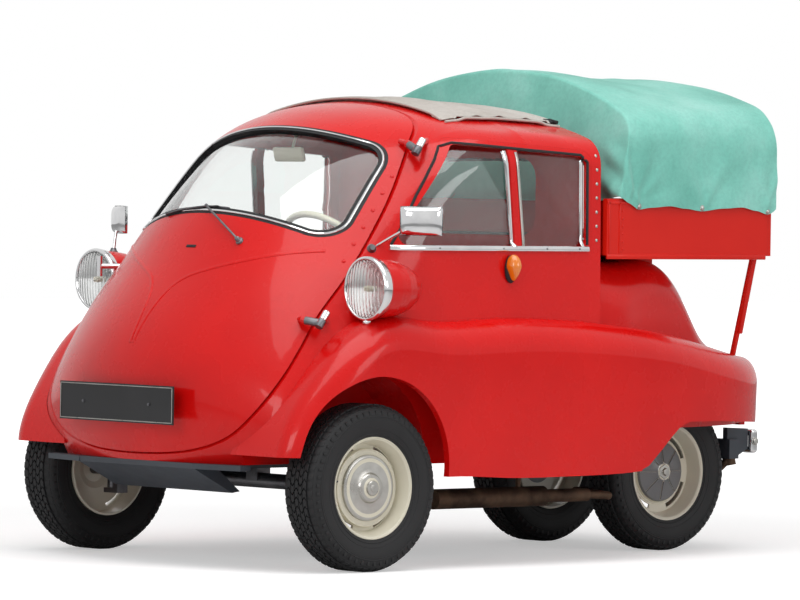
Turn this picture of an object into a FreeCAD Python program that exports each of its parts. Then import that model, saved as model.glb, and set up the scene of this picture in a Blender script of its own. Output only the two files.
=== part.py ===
import FreeCAD, Part
import math
import os

os.makedirs("parts", exist_ok=True)

V = FreeCAD.Vector

# ---------------------------------------------------------------- driving sizes
# millimetres; +X forward, +Y to the car's left, +Z up, ground at z = 0
wheelbase = 1500.0
frontTrack = 1200.0
rearTrack = 520.0
wheelCentreHeight = 240.0
tyreRadius = 240.0
tyreWidth = 138.0
rimRadius = 138.0
axleMidX = -20.0                # wheelbase middle, measured from the frame origin

skinThickness = 24.0            # doors and walls, inner panel included
panelGap = 6.0                  # open seam round the door
fitGap = 0.3                    # seals and glass in their seats
beadGap = 1.2                   # beading between the body and the panels bolted to it
movingGap = 6.0                 # between pieces that move and their neighbours

floorHeight = 336.0
floorThickness = 18.0
sillHeight = 300.0              # lower edge of cabin and door
waistHeight = 912.0             # lower edge of the side windows
cabinRearX = -166.0             # rear wall of the cabin, from the wheelbase middle
eggAxisX = 100.0                # line the nose sections fan about
fenderAxisX = 750.0
fenderAxisZ = 330.0
archRadius = 266.0
archX = 744.0
archZ = 293.0
wellRadius = 280.0               # hollow round the steered wheel
wellX = 752.0
wellZ = 300.0
wellInnerY = 408.0
fenderThickness = 22.0

boxFrontX = -254.0
cheekFrontX = -204.0
boxRearX = -872.0
boxHalfWidth = 604.0
boxFloorZ = 906.0
boxTopZ = 1074.0
boardThickness = 18.0
canvasThickness = 4.0
canvasGap = 0.3

lampRadius = 89.0
lampHeight = 808.0
lampOffset = 617.0
lampFaceX = 741.0

frontAxleX = wheelbase / 2
rearAxleX = -wheelbase / 2


# ---------------------------------------------------------------- helpers
def cylinder(start, end, radius):
    axis = end.sub(start)
    return Part.makeCylinder(radius, axis.Length, start, axis)


def box(x0, x1, y0, y1, z0, z1):
    return Part.makeBox(x1 - x0, y1 - y0, z1 - z0, V(x0, y0, z0))


def prismY(points, y0, y1):
    wire = Part.makePolygon([V(x, y0, z) for x, z in points + points[:1]])
    return Part.Face(wire).extrude(V(0, y1 - y0, 0))


def turned(profile, centre, side):
    # a closed (offset along the axle, radius) profile turned about the axle line
    points = [V(centre.x, centre.y + side * a, centre.z + r) for a, r in profile + profile[:1]]
    face = Part.Face(Part.makePolygon(points))
    return face.revolve(centre, V(0, 1, 0), 360)


def mirrored(shape):
    return shape.mirror(V(0, 0, 0), V(0, 1, 0))


def largest(shape):
    return max(shape.Solids, key=lambda s: s.Volume)


def save(name, shape):
    solid = shape.Solids[0] if len(shape.Solids) == 1 else shape
    if len(shape.Solids) != 1:
        raise ValueError(name + " has " + str(len(shape.Solids)) + " solids")
    out = solid.copy()
    if out.Volume < 0:
        out.reverse()
    out.translate(V(axleMidX, 0, 0))
    out.exportStep("parts/" + name + ".step")
    print(name, round(out.Volume / 1e6, 3))


# ---------------------------------------------------------------- arched sections
def archCorner(reach, crownRadius, rootHalf, waistHalf, cornerRadius):
    # side line leans from the root to the waist; a corner arc runs into the crown arc
    p0 = V(0, rootHalf, 0)
    p1 = V(reach - 120.0, waistHalf, 0)
    along = p1.sub(p0).normalize()
    inward = V(along.y, -along.x, 0)
    if inward.y > 0:
        inward = inward * -1
    crownCentre = V(reach - crownRadius, 0, 0)
    q = p0 + inward * cornerRadius - crownCentre
    b = q.dot(along)
    c = q.dot(q) - (crownRadius - cornerRadius) ** 2
    t = -b + math.sqrt(b * b - c)
    centre = p0 + inward * cornerRadius + along * t
    tangentLine = centre - inward * cornerRadius
    outward = (centre - crownCentre).normalize()
    tangentCrown = centre + outward * cornerRadius
    bisector = (outward - inward).normalize()
    return tangentLine, centre + bisector * cornerRadius, tangentCrown


def archPoints(row, start, inset):
    reach, crownRadius, rootHalf, waistHalf, cornerRadius = row
    shrunk = (reach - inset, crownRadius - inset, rootHalf - inset, waistHalf - inset, cornerRadius - inset)
    line, mid, crown = archCorner(*shrunk)
    return V(start, rootHalf - inset + (line.y - rootHalf + inset) * start / line.x, 0), line, mid, crown, V(reach - inset, 0, 0)


def bandWire(row, start, inset, place):
    # closed U-shaped wire: outer arch, foot, inner arch, foot
    o = archPoints(row, start, 0.0)
    i = archPoints(row, start, inset)
    def at(p, side):
        return place(p.x, p.y * side)
    edges = [
        Part.makeLine(at(o[0], 1), at(o[1], 1)),
        Part.Arc(at(o[1], 1), at(o[2], 1), at(o[3], 1)).toShape(),
        Part.Arc(at(o[3], 1), at(o[4], 1), at(o[3], -1)).toShape(),
        Part.Arc(at(o[3], -1), at(o[2], -1), at(o[1], -1)).toShape(),
        Part.makeLine(at(o[1], -1), at(o[0], -1)),
        Part.makeLine(at(o[0], -1), at(i[0], -1)),
        Part.makeLine(at(i[0], -1), at(i[1], -1)),
        Part.Arc(at(i[1], -1), at(i[2], -1), at(i[3], -1)).toShape(),
        Part.Arc(at(i[3], -1), at(i[4], 1), at(i[3], 1)).toShape(),
        Part.Arc(at(i[3], 1), at(i[2], 1), at(i[1], 1)).toShape(),
        Part.makeLine(at(i[1], 1), at(i[0], 1)),
        Part.makeLine(at(i[0], 1), at(o[0], 1)),
    ]
    return Part.Wire(edges)


def fillWire(row, start, inset, place):
    o = archPoints(row, start, inset)
    def at(p, side):
        return place(p.x, p.y * side)
    edges = [
        Part.makeLine(at(o[0], 1), at(o[1], 1)),
        Part.Arc(at(o[1], 1), at(o[2], 1), at(o[3], 1)).toShape(),
        Part.Arc(at(o[3], 1), at(o[4], 1), at(o[3], -1)).toShape(),
        Part.Arc(at(o[3], -1), at(o[2], -1), at(o[1], -1)).toShape(),
        Part.makeLine(at(o[1], -1), at(o[0], -1)),
        Part.makeLine(at(o[0], -1), at(o[0], 1)),
    ]
    return Part.Wire(edges)


def fanPlace(angle, axisX, axisZ):
    c = math.cos(math.radians(angle))
    s = math.sin(math.radians(angle))
    return lambda r, y: V(axisX + r * c, y, axisZ + r * s)


def stationPlace(x, z):
    return lambda r, y: V(x, y, z + r)


# nose of the cabin: fan angle, reach, crown radius, root and waist half width, corner radius
noseSections = [
    (0, 992, 1100, 560, 560, 90),
    (10, 1056, 1050, 565, 565, 100),
    (20, 1062, 870, 575, 570, 180),
    (32, 1026, 880, 588, 570, 250),
    (44, 1037, 750, 600, 570, 250),
    (56, 1062, 750, 600, 568, 210),
    (68, 1082, 1000, 600, 572, 175),
    (80, 1068, 1480, 600, 581, 135),
    (90, 1048, 1750, 600, 586, 100),
]
# straight part of the cabin: station, then the same columns
cabinSections = [
    (-40, 1043, 1750, 600, 588, 95),
    (-190, 1034, 1750, 600, 588, 90),
]


def cabinSolid(kind, inset):
    # smooth fan over the nose, straight run aft of it
    fan = []
    for angle, *row in noseSections:
        fan.append(kind(row, 60.0, inset, fanPlace(angle, eggAxisX, sillHeight)))
    aft = [kind(noseSections[-1][1:], 60.0, inset, stationPlace(eggAxisX, sillHeight))]
    for x, *row in cabinSections:
        aft.append(kind(row, 60.0, inset, stationPlace(x, sillHeight)))
    return Part.makeLoft(fan, True, False).fuse(Part.makeLoft(aft, True, True))


cabinBand = cabinSolid(bandWire, skinThickness)
cabinFull = cabinSolid(fillWire, 0.0)
cabinInner = cabinSolid(fillWire, skinThickness)
print("cabin", cabinBand.isValid(), cabinFull.isValid(), cabinInner.isValid())

# ---------------------------------------------------------------- door seam, seen from the side
seamPoints = [(1180, 312), (1130, 316), (1095, 327), (1072, 356), (1049, 420), (1010, 499), (958, 575), (896, 660), (833, 741),
              (769, 808), (695, 892), (627, 977), (558, 1072), (490, 1172), (433, 1237), (372, 1285), (334, 1325), (326, 1365),
              (326, 1420)]


def seamPrism(dx, dz):
    curve = Part.BSplineCurve()
    curve.interpolate([V(x + dx, -800, z + dz) for x, z in seamPoints])
    top = V(seamPoints[-1][0] + dx, -800, seamPoints[-1][1] + dz)
    low = V(seamPoints[0][0] + dx, -800, seamPoints[0][1] + dz)
    far = V(1400, -800, top.z)
    farLow = V(1400, -800, low.z)
    wire = Part.Wire([curve.toShape(), Part.makeLine(top, far), Part.makeLine(far, farLow), Part.makeLine(farLow, low)])
    return Part.Face(wire).extrude(V(0, 1600, 0))


doorZone = seamPrism(0, 0)
cabinZone = seamPrism(-panelGap * 0.8, -panelGap * 0.75)

# ---------------------------------------------------------------- windows
def roundedPrism(points, radius, a, b):
    # points are (u, z) of a closed outline, a and b map (u, z) to the two ends of the cut
    n = len(points)
    edges = []
    ends = []
    for k in range(n):
        p = V(points[k][0], points[k][1], 0)
        q0 = V(points[k - 1][0], points[k - 1][1], 0)
        q1 = V(points[(k + 1) % n][0], points[(k + 1) % n][1], 0)
        d0 = (q0 - p).normalize()
        d1 = (q1 - p).normalize()
        half = d0.getAngle(d1) / 2
        cut = radius / math.tan(half)
        s = p + d0 * cut
        e = p + d1 * cut
        centre = p + (d0 + d1).normalize() * (radius / math.sin(half))
        m = centre + (p - centre).normalize() * radius
        ends.append((s, m, e))
    def ring(f):
        out = []
        for k in range(n):
            s, m, e = ends[k]
            nxt = ends[(k + 1) % n][0]
            out.append(Part.Arc(f(s.x, s.y), f(m.x, m.y), f(e.x, e.y)).toShape())
            out.append(Part.makeLine(f(e.x, e.y), f(nxt.x, nxt.y)))
        return Part.Wire(out)
    start = ring(a)
    move = b(points[0][0], points[0][1]).sub(a(points[0][0], points[0][1]))
    return Part.Face(start).extrude(move)


# windscreen opening, cut square to a plane that leans with the glass
screenLean = math.degrees(math.atan2(1245 - 975, 760 - 560))
screenBase = V(776, 0, 975)


def screenMap(depth):
    c = math.cos(math.radians(screenLean))
    s = math.sin(math.radians(screenLean))
    return lambda y, h: V(screenBase.x - h * c + depth * s, y, screenBase.z + h * s + depth * c)


screenLow = -12.0
screenHigh = 370.0
screenOutline = [(-462, screenLow), (462, screenLow), (434, screenHigh), (-434, screenHigh)]
sealWidth = 24.0


def shrunk(outline, by):
    return [(u - by if u > 0 else u + by, z + by if z < 100 else z - by) for u, z in outline]


screenCut = roundedPrism(screenOutline, 90, screenMap(-330), screenMap(260))
screenInner = roundedPrism(shrunk(screenOutline, sealWidth), 68, screenMap(-330), screenMap(260))
glassCut = roundedPrism(shrunk(screenOutline, sealWidth + fitGap), 68 - fitGap, screenMap(-330), screenMap(260))
sealCut = roundedPrism(shrunk(screenOutline, fitGap), 90 - fitGap, screenMap(-330), screenMap(260))

# side window opening, seen from the side
windowOutline = [(640, waistHeight), (-152, waistHeight), (-152, 1214), (366, 1246)]
windowCut = roundedPrism(windowOutline, 34, lambda x, z: V(x, 430, z), lambda x, z: V(x, 700, z))
frameWidth = 20.0


def windowShrunk(by):
    return [(640 - by * 2.2, waistHeight + by), (-152 + by, waistHeight + by), (-152 + by, 1214 - by), (366 - by * 0.6, 1246 - by)]


windowInner = roundedPrism(windowShrunk(frameWidth), 24, lambda x, z: V(x, 430, z), lambda x, z: V(x, 700, z))
windowGlassCut = roundedPrism(windowShrunk(frameWidth + fitGap), 24, lambda x, z: V(x, 430, z), lambda x, z: V(x, 700, z))
windowFrameCut = roundedPrism(windowShrunk(fitGap), 34, lambda x, z: V(x, 430, z), lambda x, z: V(x, 700, z))

# ---------------------------------------------------------------- cabin and door
rearWall = cabinInner.common(box(-189.9, cabinRearX, -700, 700, floorHeight + floorThickness + fitGap, 1500))
rearWindow = roundedPrism([(-330, 960), (330, 960), (330, 1190), (-330, 1190)], 60,
                          lambda y, z: V(-300, y, z), lambda y, z: V(0, y, z))
rearGlassCut = roundedPrism([(-330 + fitGap, 960 + fitGap), (330 - fitGap, 960 + fitGap), (330 - fitGap, 1190 - fitGap),
                             (-330 + fitGap, 1190 - fitGap)], 60, lambda y, z: V(-300, y, z), lambda y, z: V(0, y, z))
cabin = cabinBand.fuse(rearWall)
housing = cylinder(V(wellX, wellInnerY - 16, wellZ), V(wellX, 640, wellZ), wellRadius + 16)
housing = housing.common(cabinSolid(fillWire, skinThickness / 2))
housingVoid = cylinder(V(wellX, wellInnerY, wellZ), V(wellX, 800, wellZ), wellRadius)
for wall, hollow in ((housing, housingVoid), (mirrored(housing), mirrored(housingVoid))):
    cabin = cabin.fuse(wall).cut(hollow)
cabin = cabin.cut(cabinZone).cut(windowCut).cut(mirrored(windowCut)).cut(rearWindow)
# roof opening under the folding fabric
roofFrontX = 262.0
roofRearX = -150.0
roofHalf = 395.0
roofCut = roundedPrism([(roofRearX, -roofHalf), (roofFrontX, -roofHalf), (roofFrontX, roofHalf), (roofRearX, roofHalf)], 60,
                       lambda x, y: V(x, y, 1100), lambda x, y: V(x, y, 1500))
cabin = largest(cabin.cut(roofCut))
save("cabin_shell", cabin)

fabricOuter = cabinSolid(fillWire, -7.0)
fabricZone = roundedPrism([(roofRearX - 30, -roofHalf - 30), (roofFrontX + 30, -roofHalf - 30),
                           (roofFrontX + 30, roofHalf + 30), (roofRearX - 30, roofHalf + 30)], 80,
                          lambda x, y: V(x, y, 1150), lambda x, y: V(x, y, 1500))
fabric = largest(fabricOuter.common(fabricZone).cut(cabinSolid(fillWire, -fitGap)))
save("sunroof_fabric", fabric)

door = largest(cabinBand.common(doorZone).cut(screenCut))
seal = largest(cabinBand.common(doorZone).common(sealCut).cut(screenInner))
save("windscreen_seal", seal)


def layer(outerInset, innerInset, zone):
    outer = cabinSolid(fillWire, outerInset)
    return outer.common(zone).cut(cabinSolid(fillWire, innerInset))


windscreen = largest(layer(12.0 + fitGap, 16.0 + fitGap, glassCut))
save("windscreen", windscreen)
dividerZone = prismY([(117, waistHeight), (149, waistHeight), (178, 1260), (144, 1260)], 430, 700)
frameLeft = cabinBand.common(windowFrameCut).cut(windowInner.cut(dividerZone))
frameLeft = largest(frameLeft.cut(cabinSolid(fillWire, 12.0).common(windowInner)))
save("side_window_frame_left", frameLeft)
save("side_window_frame_right", mirrored(frameLeft))
sideGlass = largest(layer(12.0 + fitGap, 16.0 + fitGap, windowGlassCut))
save("side_glass_left", sideGlass)
save("side_glass_right", mirrored(sideGlass))
rearGlass = box(-182, -178, -400, 400, 900, 1250).common(rearGlassCut)
save("rear_window", rearGlass)

# ---------------------------------------------------------------- fenders
# fan about the front arch: angle, reach, inner y, outer y, edge radius
fenderNose = [
    (0, 300, 380, 640, 60),
    (18, 287, 380, 652, 70),
    (38, 281, 390, 665, 80),
    (56, 294, 420, 678, 85),
    (73, 330, 450, 688, 90),
]
# stations: x, crest z, inner y, outer y, edge radius, lower z, lower y
fenderBody = [
    (750, 712, 470, 690, 95, 300, 680),
    (520, 717, 500, 690, 95, 266, 678),
    (250, 720, 520, 690, 95, 260, 678),
    (0, 718, 520, 688, 95, 259, 675),
    (-250, 700, 500, 676, 92, 264, 664),
    (-450, 677, 460, 654, 90, 280, 645),
    (-620, 648, 430, 622, 90, 300, 616),
    (-780, 618, 400, 580, 88, 330, 574),
    (-930, 598, 330, 506, 84, 350, 500),
    (-1040, 588, 260, 400, 70, 370, 394),
    (-1094, 566, 220, 332, 50, 378, 326),
]


def pontoonWire(crest, inner, outer, edge, low, lowY, place):
    # closed band: top, rounded shoulder and side outside, the same inside, one wall apart
    k = math.sqrt(0.5)
    w = fenderThickness
    r = edge - w
    edges = [
        Part.makeLine(place(crest, inner), place(crest, outer - edge)),
        Part.Arc(place(crest, outer - edge), place(crest - edge + k * edge, outer - edge + k * edge), place(crest - edge, outer)).toShape(),
        Part.makeLine(place(crest - edge, outer), place(low, lowY)),
        Part.makeLine(place(low, lowY), place(low, lowY - w)),
        Part.makeLine(place(low, lowY - w), place(crest - edge, outer - w)),
        Part.Arc(place(crest - edge, outer - w), place(crest - edge + k * r, outer - edge + k * r), place(crest - w, outer - edge)).toShape(),
        Part.makeLine(place(crest - w, outer - edge), place(crest - w, inner)),
        Part.makeLine(place(crest - w, inner), place(crest, inner)),
    ]
    return Part.Wire(edges)


fenderWires = []
for angle, reach, inner, outer, edge in fenderNose:
    place = fanPlace(angle, fenderAxisX, fenderAxisZ)
    fenderWires.append(pontoonWire(reach, inner, outer, edge, 40.0, outer - 8, place))
for x, crest, inner, outer, edge, low, lowY in fenderBody:
    fenderWires.append(pontoonWire(crest, inner, outer, edge, low, lowY, stationPlace(x, 0)))
fenderBand = Part.makeLoft(fenderWires, True, False)
print("fender", fenderBand.isValid(), fenderBand.Volume / 1e6)

# rear body under the load box: x, crest z, half width, edge radius
tailSections = [
    (-190 - fitGap, 884, 580, 110),
    (-380, 884, 556, 110),
    (-560, 878, 520, 110),
    (-650, 800, 500, 110),
    (-740, 694, 476, 100),
    (-850, 628, 440, 90),
    (-970, 588, 380, 90),
    (-1094, 548, 296, 90),
]
tailLow = 386.0


def tunnelWire(crest, half, edge, low, place):
    k = math.sqrt(0.5) * edge
    edges = [
        Part.makeLine(place(low, -half), place(crest - edge, -half)),
        Part.Arc(place(crest - edge, -half), place(crest - edge + k, -half + edge - k), place(crest, -half + edge)).toShape(),
        Part.makeLine(place(crest, -half + edge), place(crest, half - edge)),
        Part.Arc(place(crest, half - edge), place(crest - edge + k, half - edge + k), place(crest - edge, half)).toShape(),
        Part.makeLine(place(crest - edge, half), place(low, half)),
        Part.makeLine(place(low, half), place(low, -half)),
    ]
    return Part.Wire(edges)


def tailWires(inset, endInset, low):
    wires = []
    for x, crest, half, edge in tailSections:
        shift = endInset if x < -1000 else 0.0
        wires.append(tunnelWire(crest - inset, half - inset, edge - inset, low, stationPlace(x + shift, 0)))
    return wires


tailFull = Part.makeLoft(tailWires(0.0, 0.0, tailLow), True, False)
tailVoid = Part.makeLoft(tailWires(fenderThickness, fenderThickness, tailLow - 60), True, False)
print("tail", tailFull.isValid(), tailVoid.isValid())
tail = largest(tailFull.cut(tailVoid))
save("tail_shell", tail)

archLeft = cylinder(V(archX, wellInnerY, archZ), V(archX, 800, archZ), archRadius)
wellLeft = cylinder(V(wellX, wellInnerY - 16, wellZ), V(wellX, 614, wellZ), wellRadius)
rearCut = prismY([(-300, 200), (-312, 272), (-341, 283), (-399, 330), (-445, 368), (-484, 396), (-530, 410),
                  (-700, 408), (-1200, 386), (-1200, 200)], 300, 800)
cabinBead = cabinSolid(fillWire, -beadGap)
cabinSeat = cabinSolid(fillWire, -fitGap)
doorSweep = cabinSolid(fillWire, -movingGap).common(seamPrism(-12, -12))
x, crest, inner, outer, edge, low, lowY = fenderBody[-1]
fenderEnd = box(x, x + fenderThickness, inner, outer - 16, low + 1, crest - 14)
fenderRaw = fenderBand.fuse(fenderEnd).cut(archLeft).cut(wellLeft).cut(rearCut).cut(tailFull)
print("fender", fenderRaw.isValid(), round(fenderRaw.Volume / 1e6, 2))
fenderRaw = fenderRaw.cut(cabinBead)
print("fender", fenderRaw.isValid(), round(fenderRaw.Volume / 1e6, 2))
fenderRaw = fenderRaw.cut(doorSweep)
print("fender", fenderRaw.isValid(), round(fenderRaw.Volume / 1e6, 2))
fender = largest(fenderRaw)
print("fender pieces", [round(s.Volume / 1e6, 3) for s in fenderRaw.Solids])
save("fender_left", fender)
save("fender_right", mirrored(fender))

# ---------------------------------------------------------------- lamps
podProfile = [(0, 0), (0, 88), (-14, 88), (-20, 85), (-56, 84), (-91, 79), (-124, 68), (-154, 51), (-174, 32), (-184, 12),
              (-186, 0)]


def turnedX(profile, y, z):
    points = [V(lampFaceX + x, y, z + r) for x, r in profile + profile[:1]]
    return Part.Face(Part.makePolygon(points)).revolve(V(0, y, z), V(1, 0, 0), 360)


pod = turnedX(podProfile, lampOffset, lampHeight)
pod = largest(pod.cut(cabinSeat).cut(doorSweep).cut(fenderBand))
lens = turnedX([(fitGap, 0), (fitGap, 87), (8, 87), (15, 66), (23, 40), (27, 0)], lampOffset, lampHeight)
lens = largest(lens.cut(doorSweep).cut(cabinSeat))
indicator = roundedPrism([(152, 830), (190, 830), (190, 902), (152, 902)], 17, lambda x, z: V(x, 540, z), lambda x, z: V(x, 632, z))
indicator = largest(indicator.cut(cabinSeat))
tailLamp = cylinder(V(-1094 - fitGap - 18, 300, 528), V(-1094 - fitGap, 300, 528), 25)


def mirrorHead(centre, wide, deep):
    def at(depth):
        return lambda d, h: centre + wide * d + deep * depth + V(0, 0, h)
    return roundedPrism([(-62, -42), (62, -42), (62, 42), (-62, 42)], 14, at(-7), at(7))


mirrorLeft = mirrorHead(V(575, 651, 1003), V(-0.71, 0.71, 0), V(0.71, 0.71, 0))
mirrorLeft = mirrorLeft.fuse(cylinder(V(648, 470, 905), V(585, 640, 996), 5))
save("mirror_left", largest(mirrorLeft.cut(cabinSeat)))
mirrorRight = mirrorHead(V(647, -636, 988), V(0.41, 0.91, 0), V(0.91, -0.41, 0))
mirrorRight = mirrorRight.fuse(cylinder(V(672, -632, lampHeight + 60), V(651, -636, 990), 5))
save("mirror_right", largest(mirrorRight.cut(mirrored(pod))))
for name, shape in (("headlamp_pod", pod), ("headlamp_lens", lens), ("indicator", indicator),
                    ("tail_lamp", tailLamp)):
    save(name + "_left", shape)
    save(name + "_right", mirrored(shape))

# ---------------------------------------------------------------- what the door carries
hingeTop = V(474, 522, 1216)
hingeLow = V(862, 556, 718)
hingeAxis = hingeLow.sub(hingeTop).normalize()


def hingeBarrel(centre, start, end):
    return cylinder(centre + hingeAxis * start, centre + hingeAxis * end, 11)


doorLeaves = []
for name, centre, bodyReach, doorReach, foot in (("hinge_upper", hingeTop, V(-78, -60, 10), V(-14, -58, 20), V(-8, -40, 6)),
                                           ("hinge_lower", hingeLow, V(-70, -56, -30), V(28, -52, 10), V(-24, -38, 0))):
    arm = cylinder(centre - hingeAxis * 12, centre - hingeAxis * 12 + bodyReach, 9)
    hinge = hingeBarrel(centre, -26, 0).fuse(arm)
    save(name, largest(hinge.cut(cabinSeat).cut(fenderBand).cut(doorSweep)))
    leafEnd = centre + hingeAxis * 13 + doorReach
    leafArm = cylinder(centre + hingeAxis * 13, leafEnd, 11).fuse(cylinder(leafEnd, leafEnd + foot, 8))
    bodyKnuckle = cylinder(centre - hingeAxis * 27, centre + hingeAxis, 12)
    doorLeaves.append(hingeBarrel(centre, 1.0, 26).fuse(leafArm).cut(cabinInner).cut(bodyKnuckle))
for leaf in doorLeaves:
    door = door.fuse(leaf)
save("front_door", largest(door))
plate = box(1161, 1164, -260, 260, 410, 521)
plateBracket = box(1100, 1161, -70, 70, 440, 490)
save("number_plate", largest(plate.fuse(plateBracket).cut(cabinSeat)))
handleStem = cylinder(V(700, -440, 850), V(830, -500, 850), 8)
handleBar = cylinder(V(830, -500, 820), V(830, -500, 880), 8)
save("door_handle", largest(handleStem.fuse(handleBar).cut(cabinSeat)))
wiperZone = prismY([(0, 0), (1, 0), (1, 1)], 0, 1)
armOutline = [(204, -86), (194, -94), (2, 6), (12, 16)]
bladeOutline = [(-185, -12), (-185, -3), (92, 20), (92, 11)]


def screenPrism(outline):
    a = screenMap(-200)
    b = screenMap(200)
    points = [a(y, h) for y, h in outline + outline[:1]]
    return Part.Face(Part.makePolygon(points)).extrude(b(0, 0).sub(a(0, 0)))


wiperPost = screenPrism([(210, -80), (210, -102), (188, -102), (188, -80)])
wiper = layer(-10.0, -2.0, screenPrism(armOutline)).fuse(layer(-10.0, -2.0, screenPrism(bladeOutline)))
wiper = wiper.fuse(layer(-10.0, 0.0, wiperPost))
save("wiper", largest(wiper))
dash = cabinInner.common(box(700, 1000, -390, 390, 895, 945)).cut(seamPrism(0, 0).cut(seamPrism(30, 20)))
columnLow = V(800, 230, 640)
wheelHub = V(535, 230, 862)
column = cylinder(wheelHub, columnLow, 16)
strut = cylinder(V(770, 230, 668), V(800, 230, 920), 14)
save("dash_panel", largest(dash.common(doorZone).fuse(column).fuse(strut)))
columnAxis = wheelHub.sub(columnLow).normalize()
rimCentre = wheelHub + columnAxis * 12
steering = Part.makeTorus(190, 10, rimCentre, columnAxis)
steering = steering.fuse(cylinder(wheelHub + columnAxis * 1, rimCentre + columnAxis * 14, 32))
side = V(0, 1, 0)
steering = steering.fuse(cylinder(rimCentre - side * 190, rimCentre + side * 190, 7))
save("steering_wheel", steering)

# ---------------------------------------------------------------- seat and chassis
floorTop = floorHeight + floorThickness
cushion = box(-60, 400, -470, 470, 470, 590)
cushion = cushion.makeFillet(28, cushion.Edges)
seatBase = box(0, 360, -430, 430, floorTop, 470)
back = prismY([(-100, 500), (-30, 500), (-70, 900), (-140, 900)], -470, 470)
back = back.makeFillet(20, back.Edges)
save("seat_bench", cushion.fuse(seatBase).fuse(back).removeSplitter())

railBottom = floorHeight - 60
chassis = box(-1040, 1040, 125, 175, railBottom, floorHeight)
chassis = chassis.fuse(mirrored(chassis))
for x0, x1, half in ((396, 446, 500), (-260, -200, 500), (-1040, -1000, 330)):
    chassis = chassis.fuse(box(x0, x1, -half, half, railBottom, floorHeight))
# valance pan under the door, with a tapered wing to each side
valance = prismY([(1090, sillHeight - fitGap), (1086, 284), (945, 212), (915, 216), (1010, 290), (985, sillHeight - fitGap)], -265, 265)
wing = Part.Face(Part.makePolygon([V(1090, 260, 284), V(1062, 440, 284), V(1024, 440, 284), V(1010, 260, 284), V(1090, 260, 284)]))
wing = wing.extrude(V(0, 0, 16 - fitGap))
bracket = prismY([(-1002, 300), (-1002, 372), (-1094 + 3 + fitGap, 368), (-1094 + 3 + fitGap, 306), (-1040, 280)], 298, 318)
for piece in (valance, wing, mirrored(wing), bracket, mirrored(bracket)):
    chassis = chassis.fuse(piece)
chassis = chassis.fuse(box(-189, 970, -388, 388, floorHeight, floorTop))
for y in (-450, 450):
    chassis = chassis.fuse(box(-260, -200, y - 30, y + 30, railBottom - 8, railBottom))
chassis = chassis.fuse(box(-189, 455, -526, 526, floorHeight, floorTop))
save("chassis_frame", largest(chassis.removeSplitter()))

frontY = frontTrack / 2
rearY = rearTrack / 2
kingpinY = frontY - 75
kingpinRadius = 8.0
frontBeam = cylinder(V(frontAxleX, -kingpinY + 40, wheelCentreHeight), V(frontAxleX, kingpinY - 40, wheelCentreHeight), 22)
for sideSign in (1, -1):
    y0, y1 = sorted((sideSign * (kingpinY - 48), sideSign * (kingpinY - 28)))
    frontBeam = frontBeam.fuse(box(frontAxleX - 20, frontAxleX + 20, y0, y1, 172, 308))
    y0, y1 = sorted((sideSign * (kingpinY - 48), sideSign * (kingpinY + 16)))
    frontBeam = frontBeam.fuse(box(frontAxleX - 20, frontAxleX + 20, y0, y1, 172, 186))
    frontBeam = frontBeam.fuse(box(frontAxleX - 20, frontAxleX + 20, y0, y1, 294, 308))
    kingpinCentre = V(frontAxleX, sideSign * kingpinY, 0)
    frontBeam = frontBeam.fuse(cylinder(kingpinCentre + V(0, 0, 180), kingpinCentre + V(0, 0, 300), kingpinRadius))
    frontBeam = frontBeam.fuse(box(frontAxleX - 25, frontAxleX + 25, sideSign * 150 - 25, sideSign * 150 + 25, 240, railBottom))
save("front_axle", frontBeam.removeSplitter())
knuckle = cylinder(V(frontAxleX, kingpinY, 187), V(frontAxleX, kingpinY, 293), 15)
knuckle = knuckle.fuse(cylinder(V(frontAxleX, kingpinY, wheelCentreHeight), V(frontAxleX, frontY + 28, wheelCentreHeight), 16))
knuckle = knuckle.cut(cylinder(V(frontAxleX, kingpinY, 180), V(frontAxleX, kingpinY, 300), kingpinRadius + fitGap))
save("knuckle_left", knuckle)
save("knuckle_right", mirrored(knuckle))
rearAxle = cylinder(V(rearAxleX, -rearY - 28, wheelCentreHeight), V(rearAxleX, rearY + 28, wheelCentreHeight), 16)
rearAxle = rearAxle.fuse(cylinder(V(rearAxleX, -160, wheelCentreHeight), V(rearAxleX, 160, wheelCentreHeight), 30))
for y in (-150, 150):
    rearAxle = rearAxle.fuse(box(rearAxleX - 25, rearAxleX + 25, y - 25, y + 25, 240, railBottom))
save("rear_axle", rearAxle)
save("engine_block", box(-600, -300, -175, 175, floorHeight, 640))
exhaust = cylinder(V(-150, 400, 185), V(290, 400, 185), 30)
exhaust = exhaust.fuse(cylinder(V(-330, 400, 185), V(-150, 400, 185), 20))
pipeRoute = [V(-330, 400, 185), V(-420, 400, 180), V(-520, 150, 180), V(-1000, 150, 180), V(-1046, 225, 232), V(-1050, 262, 262)]
for start, end in zip(pipeRoute[:-1], pipeRoute[1:]):
    exhaust = exhaust.fuse(cylinder(start, end, 12)).fuse(Part.makeSphere(12, end))
exhaust = exhaust.fuse(cylinder(V(-1062, 260, 288), V(-1066, 266, 252), 20))
exhaust = exhaust.fuse(cylinder(V(-50, 400, 185), V(-50, 400, floorHeight), 8))
save("exhaust", exhaust)
over = box(-1124, -1094, 284, 332, 292, 366)
over = over.makeFillet(10, over.Edges)
over = over.fuse(box(-1100, -1091, 300, 316, 312, 346))
save("overrider_left", over)
save("overrider_right", mirrored(over))

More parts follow.
